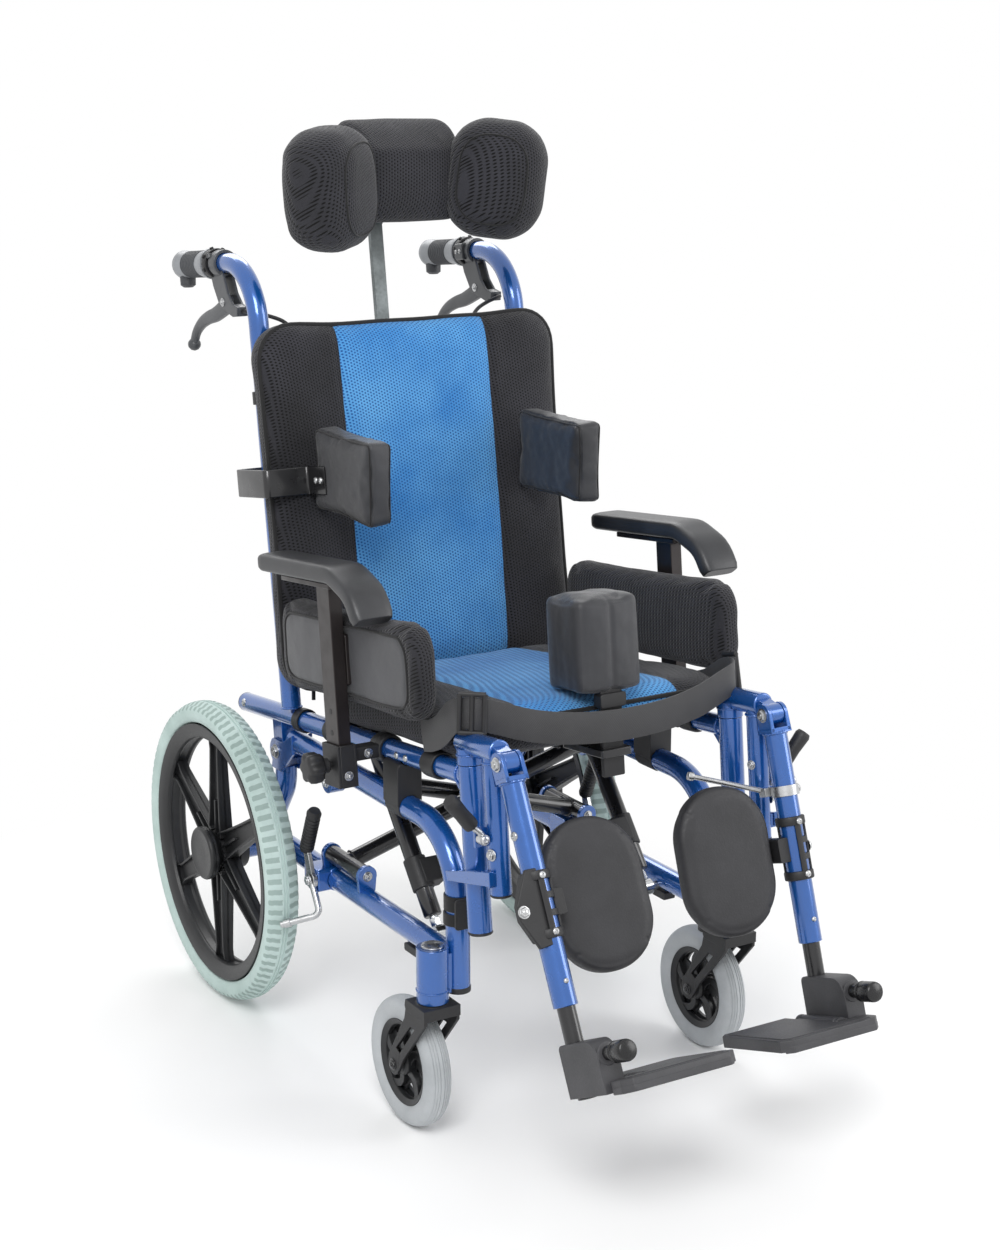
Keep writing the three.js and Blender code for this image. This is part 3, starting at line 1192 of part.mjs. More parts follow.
function sideGuard() {
  const g = guard;
  const shape = pad({ halfX: (g.front - g.rear) / 2, halfY: (g.high - g.low) / 2,
    thickness: g.width - g.crown,
    edge: g.edge, corner: g.corner, crown: 0, under: g.crown, drawIn: g.draw_in, innerX: 2, innerY: 1 });
  return sideways(shape.rotateZ(Math.PI / 2))
    .translate(g.inner + (g.crown + g.width) / 2, -(g.front + g.rear) / 2, (g.high + g.low) / 2);
}

for (const side of sides) {
  const group = mirrored(seatFrame, side);
  addPart(group, `${side}_arm_socket`, armSocket(), black_plastic);
  addPart(group, `${side}_arm_post`, armPost(), black_steel);
  addPart(group, `${side}_arm_knob`, armKnob(), black_plastic);
  addPart(group, `${side}_arm_pad`, armPad(), black_plastic);
  addPart(group, `${side}_side_guard`, sideGuard(), black_mesh);
}

// Pommel on its flat stem, and the lap belt
function pommelShape() {
  const p = pommel;
  const body = pad({ halfX: p.half_width, halfY: (p.front - p.rear) / 2, thickness: p.high - p.low,
    edge: p.edge,
    corner: p.corner, crown: p.crown, innerX: 1, innerY: 1 })
    .translate(0, -(p.front + p.rear) / 2, (p.high + p.low) / 2);
  const stem = block([-p.stem_half, p.stem_half], [-p.stem_front, -p.stem_rear],
    [p.stem_low, p.low + p.edge]);
  return join(body, stem);
}

function beltPoints(stops, way) {
  return stops.map((stop) => [way * stop.out_share * belt.out, -stop.ahead, stop.above]);
}

function beltShape() {
  const points = [...beltPoints(belt_stops.right, -1).reverse(), ...beltPoints(belt_stops.left, 1)];
  return ribbon(points, belt.width, belt.thickness, [0, 0, 1]);
}

addPart(seatFrame, "pommel", pommelShape(), grey_nylon);
addPart(seatFrame, "lap_belt", beltShape(), webbing);

// Leg rest hangers
function hangerShape() {
  const h = hanger;
  const x = frame_half_width;
  const collar = rod(h.collar, [x, -seat.post_forward, h.collar_low],
    [x, -seat.post_forward, h.collar_high]);
  const armTube = rod(h.arm, [x, -seat.post_forward + h.arm_back, h.arm_above],
    [x, -h.arm_front, h.arm_above]);
  const drop = rod(h.drop, [x, -h.drop_forward, h.arm_above], [x, -h.drop_forward, -h.drop_low]);
  const [py, pz] = [-h.pin_forward, h.pin_above];
  const barrel = rod(h.tongue, [x - h.tongue_half, py, pz], [x + h.tongue_half, py, pz]);
  const tongue = block([x - h.tongue_half, x + h.tongue_half], [py, -h.arm_front + overlap],
    [pz, pz + h.tongue]);
  const latchOuter = h.latch_inner + h.latch_thickness;
  const latch = block([h.latch_inner, latchOuter], [-h.latch_front, -h.latch_rear],
    [-h.latch_low, -h.latch_high]);
  const latchRoot = block([h.ear_inner, latchOuter], [-h.latch_front, -h.ear_front + h.pin_head_thickness],
    [-h.latch_low, -h.latch_high]);
  const ear = block([h.ear_inner, h.ear_inner + h.ear_width], [-h.ear_front, -h.ear_rear],
    [-release.drop - h.ear_half, -release.drop + h.ear_half]);
  const earPin = rod(release.pin, [release.out, -h.ear_front + overlap, -release.drop],
    [release.out, -release.forward - release.half, -release.drop], small_sides);
  const bore = rod(seat.post_pin + running_gap, [x, -seat.post_forward, 0],
    [x, -seat.post_forward, seat.post_pin_top + running_gap]);
  const pinBore = rod(h.pin + running_gap, [x - overrun, py, pz], [x + overrun, py, pz]);
  return cut(join(collar, armTube, drop, barrel, tongue, latch, latchRoot, ear, earPin), bore, pinBore);
}

function releaseLever() {
  const r = release;
  const ys = [-r.forward - r.half + running_gap, -hanger.ear_front - running_gap];
  const hub = rod(r.hub, [r.out, ys[0], -r.drop], [r.out, ys[1], -r.drop]);
  const knee = [r.knee_out, -r.knee_forward, r.knee_rise];
  const bar = rod(r.rod, [r.out, -r.forward, -r.drop + r.pin + overlap], knee, small_sides);
  const handle = rod(r.grip_radius, knee, [r.tip_out, -r.tip_forward, r.tip_rise]);
  const bore = rod(r.pin + running_gap, [r.out, ys[0] - overrun, -r.drop],
    [r.out, ys[1] + overrun, -r.drop],
    small_sides);
  return cut(join(hub, bar, handle), bore);
}

// Leg rests, built in a group whose -z axis runs down the leg from its pivot
function legTube() {
  const l = leg;
  const tube = rod(l.tube, [0, 0, -l.start], [0, 0, -l.end], tube_sides);
  const reach = l.fork_inner + l.fork_thickness;
  const prongs = [-1, 1].flatMap((way) => {
    const xs = [way * l.fork_inner, way * reach].sort((low, high) => low - high);
    const round = rod(l.fork_radius, [xs[0], 0, 0], [xs[1], 0, 0]);
    return [round, block(xs, [-l.fork_radius, l.fork_radius], [-l.start, 0])];
  });
  const bridge = block([-reach, reach], [-l.fork_radius, l.fork_radius], [-l.start - overlap, -l.bridge]);
  const bore = rod(l.bore, [0, 0, -l.bore_start], [0, 0, -l.end - overrun]);
  const pin = rod(hanger.pin, [-reach, 0, 0], [reach, 0, 0]);
  const heads = [-1, 1].map((way) => rod(hanger.pin_head, [way * (reach - overlap), 0, 0],
    [way * (reach + hanger.pin_head_thickness), 0, 0], hex_sides));
  return cut(join(tube, ...prongs, bridge, pin, ...heads), bore);
}

function calfPad(setback) {
  const c = calf;
  const oval = pad({ halfX: c.half_width, halfY: c.half_height, thickness: c.thickness, edge: c.edge,
    corner: c.half_width * c.corner_share, crown: c.crown, innerX: 2, innerY: 3 });
  const padShape = standing(oval).rotateZ(radians(c.toe_in_deg))
    .translate(-c.inward, setback + c.thickness / 2, -c.centre_down);
  const rear = setback + c.thickness;
  const zs = [-c.centre_down - c.plate_half_height, -c.centre_down + c.plate_half_height];
  const plate = block([-c.plate_reach, -c.arm_inner], [rear - c.edge, rear + c.plate_thickness], zs);
  const armBlock = block([-c.arm_inner - overlap, -c.collar + c.plate_thickness],
    [-c.plate_thickness, rear + c.plate_thickness], zs);
  const collar = rod(c.collar, [0, 0, -c.collar_start], [0, 0, -c.collar_end]);
  const bore = rod(leg.tube + 3 * seat_gap, [0, 0, -c.collar_start + overrun],
    [0, 0, -c.collar_end - overrun]);
  return cut(join(collar, armBlock, plate, padShape), bore);
}

function footTube() {
  const f = foot;
  const tube = rod(f.tube, [0, 0, -f.tube_start], [0, 0, -f.block_low]);
  const clamp = block([-f.block_inner, f.block_outer], [-f.block_front, f.block_rear],
    [-f.block_low, -f.block_high]);
  const at = (y) => [0, -y, -f.bumper_down];
  const neck = rod(f.neck, at(0), at(f.neck_end));
  const bumper = rod(f.bumper, at(f.neck_end - overlap), at(f.bumper_end));
  const hinge = (y) => [-f.hinge_in, y, -f.hinge_down];
  const pin = rod(f.hinge_pin, hinge(-f.block_front), hinge(f.block_rear));
  const lugs = [[-f.block_front, -f.block_front + f.lug_thickness],
    [f.block_rear - f.lug_thickness, f.block_rear]]
    .flatMap((ys) => [rod(f.knuckle, hinge(ys[0]), hinge(ys[1])),
      block([-f.hinge_in, -f.block_inner + overlap], ys,
      [-f.hinge_down - f.hinge_pin, -f.hinge_down + f.knuckle])]);
  return join(tube, clamp, neck, bumper, pin, ...lugs);
}

// The plate is built about its hinge line, which lies at zero across and up
function footPlate() {
  const f = foot;
  const across = (inward) => f.hinge_in - inward;
  const shape = new THREE.Shape([[across(f.plate_root), f.plate_back], [across(f.plate_root), -f.plate_toe],
    [across(-f.plate_outer), -f.plate_toe], [across(-f.plate_outer), -f.plate_front + f.plate_chamfer / 2],
    [across(-f.plate_outer + f.plate_chamfer / 2), -f.plate_front],
    [across(f.plate_inner - f.plate_chamfer), -f.plate_front],
    [across(f.plate_inner), -f.plate_front + f.plate_chamfer],
    [across(f.plate_inner), f.plate_back - f.plate_chamfer / 2],
    [across(f.plate_inner - f.plate_chamfer / 2), f.plate_back]].map(([x, y]) => new THREE.Vector2(x, y)));
  const plate = new THREE.ExtrudeGeometry(shape, { depth: f.plate_thickness, bevelEnabled: false })
    .translate(0, 0, -f.plate_thickness / 2);
  const ends = [-f.block_front + f.lug_thickness + running_gap,
    f.block_rear - f.lug_thickness - running_gap];
  const knuckle = rod(f.knuckle, [0, ends[0], 0], [0, ends[1], 0]);
  const bridge = block([across(f.plate_root) - overlap, 0], ends,
    [-f.plate_thickness / 2, f.plate_thickness / 2]);
  const bore = rod(f.hinge_pin + running_gap, [0, ends[0] - overrun, 0], [0, ends[1] + overrun, 0]);
  const whole = join(plate, knuckle, bridge);
  return cut(whole, bore);
}

for (const side of sides) {
  const group = mirrored(seatFrame, side);
  addPart(group, `${side}_legrest_hanger`, hangerShape(), blue_paint);
  addPart(group, `${side}_legrest_release`, releaseLever(), black_plastic);
  const own = side === "right";
  const legGroup = new THREE.Group();
  legGroup.position.set(frame_half_width, -hanger.pin_forward, hanger.pin_above);
  legGroup.rotation.x = -radians(own ? leg.right_angle_deg : leg.left_angle_deg);
  group.add(legGroup);
  addPart(legGroup, `${side}_leg_tube`, legTube(), blue_paint);
  addPart(legGroup, `${side}_calf_pad`, calfPad(own ? calf.right_setback : calf.left_setback), grey_foam);
  addPart(legGroup, `${side}_foot_tube`, footTube(), black_steel);
  addPart(legGroup, `${side}_footplate`, footPlate(), black_plastic)
    .position.set(-foot.hinge_in, 0, -foot.hinge_down);
}

// The origin goes to the middle of the footprint
const footprint = new THREE.Box3().setFromObject(chair, true).getCenter(new THREE.Vector3());
chair.position.y = -footprint.y;

export default chair;
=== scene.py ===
"""Looks of a tilt in space wheelchair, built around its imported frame.
Local sizes are millimetres. The frames below turn them into the shared frame in metres."""
import math
import random

import bmesh
import bpy
import numpy as np
from mathutils.bvhtree import BVHTree
from mathutils import Matrix, Vector, noise


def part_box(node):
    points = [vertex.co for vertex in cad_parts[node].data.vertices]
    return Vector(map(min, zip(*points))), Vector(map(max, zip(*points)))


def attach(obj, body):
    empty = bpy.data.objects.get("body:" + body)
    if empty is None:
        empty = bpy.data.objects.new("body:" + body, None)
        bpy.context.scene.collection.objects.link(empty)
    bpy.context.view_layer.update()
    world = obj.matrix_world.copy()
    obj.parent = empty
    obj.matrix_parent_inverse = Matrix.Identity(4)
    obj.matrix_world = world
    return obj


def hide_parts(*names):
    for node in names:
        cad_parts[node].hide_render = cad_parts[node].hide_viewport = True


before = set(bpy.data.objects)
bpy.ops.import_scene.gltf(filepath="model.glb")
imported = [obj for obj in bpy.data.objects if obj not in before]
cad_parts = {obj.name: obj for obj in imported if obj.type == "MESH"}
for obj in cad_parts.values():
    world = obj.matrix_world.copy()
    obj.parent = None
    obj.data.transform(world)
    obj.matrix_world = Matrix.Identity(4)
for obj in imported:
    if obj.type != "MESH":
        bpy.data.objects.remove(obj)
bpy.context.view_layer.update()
random.seed(7)

low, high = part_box("left_rear_tyre")
axle_y = (low[1] + high[1]) / 2 * 1000
MM = Matrix.Scale(0.001, 4)


def shift(place):
    return Matrix.Translation(place)


def rot(degrees, axis):
    return Matrix.Rotation(math.radians(degrees), 4, axis)


OUT, INWARD, AFT, FORE, UP, DOWN = (1, 0, 0), (-1, 0, 0), (0, 1, 0), (0, -1, 0), (0, 0, 1), (0, 0, -1)
WHEEL = (240, 0, 198)
CASTER = (208, -456, 77)
# Degrees that the seat leans back on the chassis, and the back on the seat
SEAT_LEAN, BACK_LEAN = 6.2, 1.9
CHASSIS = shift((0, axle_y, 0))
SEAT = CHASSIS @ shift((0, -70, 344)) @ rot(-SEAT_LEAN, "X")
BACK = SEAT @ shift((0, -43.6, 59.8)) @ rot(-BACK_LEAN, "X")
LEG = {"left": SEAT @ shift((176, -561, 74)) @ rot(-12.4, "X"),
    "right": SEAT @ shift((-176, -561, 74)) @ rot(-20.6, "X")}
FLIP = Matrix.Scale(-1, 4, OUT)
SIDES = ("left", "right")


def place_matrix(where, side):
    """From a piece's local millimetres to the shared frame, mirrored for the right-hand side."""
    return MM @ where @ (FLIP if side == "right" else Matrix.Identity(4))


def new_object(name, data):
    obj = bpy.data.objects.new(name, data)
    bpy.context.scene.collection.objects.link(obj)
    return obj


def look_at(place, target):
    return (Vector(target) - Vector(place)).to_track_quat("-Z", "Y").to_euler()


# Camera at the photograph's viewing angle
camera_data = bpy.data.cameras.new("camera")
camera_data.lens = 63.56
camera_data.sensor_width = 36
camera_data.clip_end = 50
camera = new_object("camera", camera_data)
eye = Vector((-1329, -2531 + axle_y, 1198)) / 1000
aim = Vector((2.5, -306 + axle_y, 537)) / 1000
camera.location = eye
camera.rotation_euler = look_at(eye, aim)
bpy.context.scene.camera = camera


# Materials
class Nodes:
    """A material's node tree with short ways to add and link nodes."""

    def __init__(self, name):
        self.material = bpy.data.materials.new(name)
        self.material.use_nodes = True
        self.tree = self.material.node_tree
        self.shader = self.tree.nodes["Principled BSDF"]
        self.where = self.tree.nodes.new("ShaderNodeTexCoord").outputs["Object"]

    def set(self, socket, value):
        if isinstance(value, bpy.types.NodeSocket):
            self.tree.links.new(value, socket)
        else:
            socket.default_value = value

    def node(self, kind, **inputs):
        """A new node; i0, i1 and so on name its inputs by number."""
        made = self.tree.nodes.new(kind)
        for key, value in inputs.items():
            self.set(made.inputs[int(key[1:]) if key[0] == "i" and key[1:].isdigit() else key], value)
        return made

    def math(self, operation, a, b=0.0, clamp=False):
        made = self.node("ShaderNodeMath", i0=a, i1=b)
        made.operation = operation
        made.use_clamp = clamp
        return made.outputs[0]

    def along(self, direction):
        made = self.node("ShaderNodeVectorMath", i0=self.where, i1=direction)
        made.operation = "DOT_PRODUCT"
        return made.outputs["Value"]

    def noise(self, scale, detail=3.0, rough=0.55, where=None):
        made = self.node("ShaderNodeTexNoise", Vector=where or self.where, Scale=scale, Detail=detail,
            Roughness=rough)
        return made.outputs["Fac"]

    def ramp(self, value, low, high, to_low=0.0, to_high=1.0):
        made = self.node("ShaderNodeMapRange", i0=value, i1=low, i2=high, i3=to_low, i4=to_high)
        return made.outputs[0]

    def mix(self, share, a, b):
        made = self.tree.nodes.new("ShaderNodeMix")
        made.data_type = "RGBA"
        for index, value in ((0, share), (6, a), (7, b)):
            self.set(made.inputs[index], (*value[:3], 1) if isinstance(value, tuple) else value)
        return made.outputs[2]

    def put(self, name, value):
        self.set(self.shader.inputs[name], value)

    def bump(self, height, strength, distance, before=None):
        made = self.node("ShaderNodeBump", Strength=strength, Distance=distance, Height=height)
        if before is not None:
            self.tree.links.new(before, made.inputs["Normal"])
        return made.outputs["Normal"]


def rgb(hex_colour):
    """An sRGB colour as linear light."""
    parts = [int(hex_colour[i:i + 2], 16) / 255 for i in (0, 2, 4)]
    return tuple(p / 12.92 if p < 0.04045 else ((p + 0.055) / 1.055) ** 2.4 for p in parts)


def tint(colour, factor, add=0.0, most=math.inf):
    return tuple(min(most, c * factor + add) for c in colour)


def paint(name, colour, rough, metal, coat, flake=0.0, coat_ior=1.5):
    n = Nodes(name)
    base = rgb(colour)
    cloud = n.noise(14, 2)
    speck = n.noise(2600, 1)
    tone = n.mix(n.ramp(cloud, 0.3, 0.7), tint(base, 0.94), tint(base, 1.05, 0.002, 1))
    tone = n.mix(n.math("MULTIPLY", n.ramp(speck, 0.62, 0.72), flake), tone, tint(base, 2, 0.05, 1))
    n.put("Base Color", tone)
    n.put("Roughness", n.ramp(n.noise(60, 4), 0.3, 0.7, rough * 0.8, rough * 1.25))
    n.put("Metallic", metal)
    n.put("Coat Weight", coat)
    n.put("Coat Roughness", 0.1)
    n.put("Coat IOR", coat_ior)
    n.put("Normal", n.bump(n.noise(420, 2), 0.06, 0.0004))
    return n.material


def moulded(name, colour, rough, grain=900, depth=0.25):
    n = Nodes(name)
    base = rgb(colour)
    cloud = n.noise(22, 3)
    grains = n.noise(grain, 4, 0.6)
    tone = n.mix(n.ramp(cloud, 0.3, 0.7), tint(base, 0.8), tint(base, 1.2, 0.002))
    tone = n.mix(n.ramp(grains, 0.55, 0.8, 0, 0.5), tone, tint(base, 1.7, 0.01))
    n.put("Base Color", tone)
    n.put("Roughness", n.ramp(grains, 0.3, 0.7, rough * 0.85, min(1, rough * 1.2)))
    n.put("Normal", n.bump(grains, depth, 0.0004))
    return n.material


def metal(name, colour, rough):
    n = Nodes(name)
    base = rgb(colour)
    brushed = n.noise(260, 4, 0.7)
    spots = n.noise(35, 3)
    n.put("Base Color", n.mix(n.ramp(spots, 0.35, 0.7), base, tint(base, 0.72)))
    n.put("Metallic", 1.0)
    n.put("Roughness", n.ramp(brushed, 0.3, 0.7, rough * 0.7, rough * 1.4))
    n.put("Normal", n.bump(brushed, 0.05, 0.0003))
    return n.material


def centre_panel(n, local, half, flare, length, face):
    """How much a point lies in the middle panel of a pad, whose sides may flare towards its front."""
    inverse = (MM @ local).inverted()
    x, y, z = (n.math("ADD", n.along(tuple(inverse[row][:3])), inverse[row][3]) for row in range(3))
    ahead = n.math("MAXIMUM", n.math("DIVIDE", y, -length), 0.0)
    edge = n.math("ADD", n.math("MULTIPLY", n.math("MULTIPLY", ahead, ahead), flare), half)
    beyond = n.math("SUBTRACT", n.math("ABSOLUTE", x), edge)
    return n.math("MULTIPLY", n.ramp(beyond, 0.5, -0.5), n.ramp(z, face - 0.6, face + 0.6))


def mesh_cloth(name, colour, hole_shade, thread, pitch=0.0038, depth=0.6, sheen=0.2, panel=None, second=None):
    """Knitted spacer mesh: a lattice of small holes between raised threads, with painted shade in the holes.
    """
    n = Nodes(name)
    k = 2 * math.pi / pitch
    lean = 0.6
    waves = [n.math("COSINE", n.along(d)) for d in ((k, k * lean, 0),
        (k * 0.5, k * (lean * 0.5 + lean * 0.866), k * 0.866),
        (k * 0.5, k * (lean * 0.5 - lean * 0.866), -k * 0.866))]
    lattice = n.math("ADD", n.math("ADD", waves[0], waves[1]), waves[2])
    holes = n.ramp(lattice, 0.1, 1.7)
    fibre = n.noise(2200, 2)
    patch = n.noise(9, 3)

    def tone(colour, hole_shade, thread):
        body = n.mix(n.ramp(patch, 0.3, 0.7), rgb(colour), rgb(thread))
        body = n.mix(n.ramp(fibre, 0.45, 0.75, 0, 0.35), body, tint(rgb(thread), 1.5, 0.01))
        # Painted shade: the holes take the darker hole colour
        return n.mix(holes, body, rgb(hole_shade))

    whole = tone(colour, hole_shade, thread)
    if panel:
        whole = n.mix(centre_panel(n, *panel), whole, tone(*second))
    n.put("Base Color", whole)
    n.put("Roughness", 0.86)
    n.put("Sheen Weight", sheen)
    n.put("Sheen Roughness", 0.45)
    n.put("Specular IOR Level", 0.25)
    n.put("Normal", n.bump(n.math("SUBTRACT", fibre, n.math("MULTIPLY", holes, 2.5)), depth, 0.0007))
    return n.material


def woven(name, colour, thread=0.0011, depth=0.35, rough=0.62, crease=0.0, sheen=0.15):
    """Plain woven nylon, with soft creases where asked."""
    n = Nodes(name)
    base = rgb(colour)
    k = 2 * math.pi / thread
    warp = n.math("SINE", n.along((k, k * 0.7, 0)))
    weft = n.math("SINE", n.along((0, k * 0.3, k)))
    weave = n.math("MULTIPLY", warp, weft)
    cloud = n.noise(12, 4, 0.6)
    fold = n.noise(30, 2, 0.5)
    tone = n.mix(n.ramp(cloud, 0.3, 0.7), tint(base, 0.75), tint(base, 1.25, 0.003))
    tone = n.mix(n.ramp(weave, 0.2, 1.0, 0, 0.3), tone, tint(base, 1.6, 0.008))
    n.put("Base Color", tone)
    n.put("Roughness", n.ramp(cloud, 0.3, 0.7, rough * 0.88, rough * 1.1))
    n.put("Sheen Weight", sheen)
    n.put("Specular IOR Level", 0.4)
    normal = n.bump(weave, depth, 0.00018)
    if crease:
        normal = n.bump(fold, crease, 0.004, normal)
    n.put("Normal", normal)
    return n.material


def tyre_rubber(name, colour, dusty):
    n = Nodes(name)
    base = rgb(colour)
    cloud = n.noise(16, 4, 0.6)
    fine = n.noise(700, 3)
    tone = n.mix(n.ramp(cloud, 0.35, 0.75), base, rgb(dusty))
    tone = n.mix(n.ramp(fine, 0.55, 0.8, 0, 0.25), tone, tint(base, 0.7))
    n.put("Base Color", tone)
    n.put("Roughness", n.ramp(fine, 0.3, 0.7, 0.55, 0.8))
    n.put("Normal", n.bump(fine, 0.12, 0.0004))
    return n.material


STAND = Matrix.Rotation(math.pi / 2, 4, "X")
SEAT_PAD_PLACE = shift((0, -297, 84))
SEAT_PAD = SEAT @ SEAT_PAD_PLACE
BACK_PAD = BACK @ shift((0, -32.8, 253)) @ STAND
# Blue panels: half width, how far its sides flare towards the front, and the length of the pad
SEAT_PANEL = (99, 6, 187)
BACK_PANEL = (105, 0, 231)
PANEL_FACE = 4
# Mesh colours: body, hole (painted shade in the holes), threads
BLACK_MESH = ("212124", "040405", "34343A")
BLUE_MESH = ("337DC2", "1A5294", "62A6DC")
M = {"blue": paint("blue_paint", "0C54A2", 0.24, 0.42, 1.0, 0.2, 1.62),
    "satin": paint("black_satin_steel", "161619", 0.3, 0.3, 0.5, 0.1, 1.6),
    "post": paint("dark_bronze_steel", "2B2626", 0.36, 0.55, 0.2, 0.2),
    "plastic": moulded("black_plastic", "1B1B1D", 0.5),
    "arm": moulded("arm_pad_skin", "2C2D30", 0.38, 700, 0.3),
    "foot": moulded("footplate_plastic", "3B3B3E", 0.5, 500, 0.5),
    "rim": moulded("rim_plastic", "1A1B1D", 0.42, 600, 0.2),
    "foam": moulded("calf_pad_skin", "252528", 0.55, 380, 0.5),
    "grip": moulded("grip_rubber", "8E9195", 0.36, 900, 0.2),
    "grip_rib": moulded("grip_ribs", "3C3E42", 0.5, 900, 0.25),
    "lever": moulded("lever_grey", "46484B", 0.36, 700, 0.2),
    "bumper": moulded("bumper_rubber", "131315", 0.28, 600, 0.15), "zinc": metal("zinc_plate", "C9CACB", 0.3),
    "chrome": metal("bright_rod", "D5D7D9", 0.16), "steel": metal("brushed_stem", "83898A", 0.48),
    "mesh": mesh_cloth("black_mesh", *BLACK_MESH),
    "seat_mesh": mesh_cloth("seat_mesh", *BLACK_MESH, panel=(SEAT_PAD, *SEAT_PANEL, PANEL_FACE),
    second=BLUE_MESH), "back_mesh": mesh_cloth("back_mesh", *BLACK_MESH,
    panel=(BACK_PAD, *BACK_PANEL, PANEL_FACE), second=BLUE_MESH),
    "nylon": woven("grey_nylon", "2B2C30", crease=0.6, rough=0.38),
    "panel": woven("guard_panel", "3A3B3F", crease=0.3, rough=0.45),
    "binding": woven("edge_binding", "101012", 0.0016, 0.5, 0.8),
    "webbing": woven("webbing", "2F2F31", 0.0020, 0.7, 0.55),
    "green_tyre": tyre_rubber("green_tyre", "C0D3CF", "A9BEB9"),
    # Darker rubber for the groove walls: painted shade in the tread grooves
    "tread_groove": tyre_rubber("tread_groove", "9CB0AB", "8C9F9A"),
    "grey_tyre": tyre_rubber("grey_tyre", "B6BABD", "A0A4A7")}


# Mesh shapes, as lists of points and faces in local millimetres
def shape_join(*shapes):
    points, faces = [], []
    for p, f in shapes:
        start = len(points)
        points += list(p)
        faces += [tuple(i + start for i in face) for face in f]
    return points, faces


def moved(turn, shape):
    return [turn @ p for p in shape[0]], shape[1]


def circle(centre, u, v, radius, sides):
    angles = [2 * math.pi * k / sides for k in range(sides)]
    return [centre + (u * math.cos(t) + v * math.sin(t)) * radius for t in angles]


def rings(stack, caps=True, loop=False):
    """A skin through equal rings of points."""
    count = len(stack[0])
    points = [p for ring in stack for p in ring]
    faces = []
    last = len(stack) if loop else len(stack) - 1
    for i in range(last):
        j = (i + 1) % len(stack)
        for k in range(count):
            n = (k + 1) % count
            faces.append((i * count + k, i * count + n, j * count + n, j * count + k))
    if caps and not loop:
        faces.append(tuple(range(count))[::-1])
        faces.append(tuple((len(stack) - 1) * count + k for k in range(count)))
    return points, faces


def path_of(points, bend=0.0, steps=9):
    """Straight runs joined by arcs: places and headings."""
    pts = [Vector(p) for p in points]
    places, heads = [pts[0].copy()], [(pts[1] - pts[0]).normalized()]
    for i in range(1, len(pts) - 1):
        a = (pts[i] - pts[i - 1]).normalized()
        b = (pts[i + 1] - pts[i]).normalized()
        turn = a.angle(b)
        if turn < 1e-4:
            continue
        run = min(bend * math.tan(turn / 2), (pts[i] - pts[i - 1]).length * 0.49,
            (pts[i + 1] - pts[i]).length * 0.49)
        radius = run / math.tan(turn / 2)
        inward = (b - a * a.dot(b)).normalized()
        centre = pts[i] - a * run + inward * radius
        for s in range(steps + 1):
            t = turn * s / steps
            places.append(centre - inward * radius * math.cos(t) + a * radius * math.sin(t))
            heads.append((a * math.cos(t) + inward * math.sin(t)).normalized())
    places.append(pts[-1].copy())
    heads.append((pts[-1] - pts[-2]).normalized())
    return places, heads


def smooth_path(points, per=6):
    """A smooth curve through the points."""
    pts = [Vector(p) for p in points]
    ext = [pts[0] * 2 - pts[1], *pts, pts[-1] * 2 - pts[-2]]
    out = []
    for i in range(1, len(ext) - 2):
        p0, p1, p2, p3 = ext[i - 1:i + 3]
        for s in range(per):
            t = s / per
            out.append(0.5 * ((2 * p1) + (p2 - p0) * t + (2 * p0 - 5 * p1 + 4 * p2 - p3) * t * t
                + (3 * p1 - p0 - 3 * p2 + p3) * t ** 3))
    out.append(pts[-1])
    heads = [(out[min(i + 1, len(out) - 1)] - out[max(i - 1, 0)]).normalized() for i in range(len(out))]
    return out, heads


def frames_along(heads):
    side = heads[0].orthogonal().normalized()
    result = []
    for i, h in enumerate(heads):
        if i:
            side = heads[i - 1].rotation_difference(h) @ side
        side = (side - h * side.dot(h)).normalized()
        result.append((side, h.cross(side).normalized()))
    return result


def sweep(places, heads, radius, sides=24, radii=None):
    stack = []
    for i, (place, (u, v)) in enumerate(zip(places, frames_along(heads))):
        stack.append(circle(place, u, v, radii[i] if radii else radius, sides))
    return rings(stack)


def tube(points, radius, bend=40.0, sides=24, steps=9):
    return sweep(*path_of(points, bend, steps), radius, sides)


def hose(points, radius, sides=12, per=6):
    return sweep(*smooth_path(points, per), radius, sides)


def rod(radius, a, b, sides=28, radius_b=None):
    a, b = Vector(a), Vector(b)
    h = (b - a).normalized()
    return sweep([a, b], [h, h], radius, sides, [radius, radius_b if radius_b else radius])


def turned(profile, a, direction, sides=36, closed=False):
    """A turned piece: profile is (radius, distance along direction from a)."""
    a, h = Vector(a), Vector(direction).normalized()
    u = h.orthogonal().normalized()
    v = h.cross(u)
    stack = [circle(a + h * d, u, v, max(r, 0.01), sides) for r, d in profile]
    return rings(stack, caps=not closed, loop=closed)


def sleeve(inner, outer, start, end, place, direction, sides=36):
    """A plain collar with a bore."""
    return turned([(inner, start), (outer, start), (outer, end), (inner, end)], place, direction, sides,
        closed=True)


def bars(sections):
    """A bar through rectangles: (low x, high x, low y, high y, z) each."""
    return rings([[Vector((x0, y0, z)), Vector((x1, y0, z)), Vector((x1, y1, z)), Vector((x0, y1, z))]
        for x0, x1, y0, y1, z in sections])


def box(xs, ys, zs):
    p = [Vector((x, y, z)) for z in zs for y in ys for x in xs]
    return p, [(0, 2, 3, 1), (4, 5, 7, 6), (0, 1, 5, 4), (2, 6, 7, 3), (0, 4, 6, 2), (1, 3, 7, 5)]


def prism(outline, lo, hi, axis="x"):
    """A flat outline made thick along an axis: (y, z) for x, (x, z) for y, (x, y) for z."""
    def at(p, d):
        return {"x": Vector((d, p[0], p[1])), "y": Vector((p[0], d, p[1])),
            "z": Vector((p[0], p[1], d))}[axis]
    return rings([[at(p, lo) for p in outline], [at(p, hi) for p in outline]])


def arc2(cx, cy, r, start, end, steps=8):
    return [(cx + r * math.cos(math.radians(start + (end - start) * s / steps)),
        cy + r * math.sin(math.radians(start + (end - start) * s / steps))) for s in range(steps + 1)]


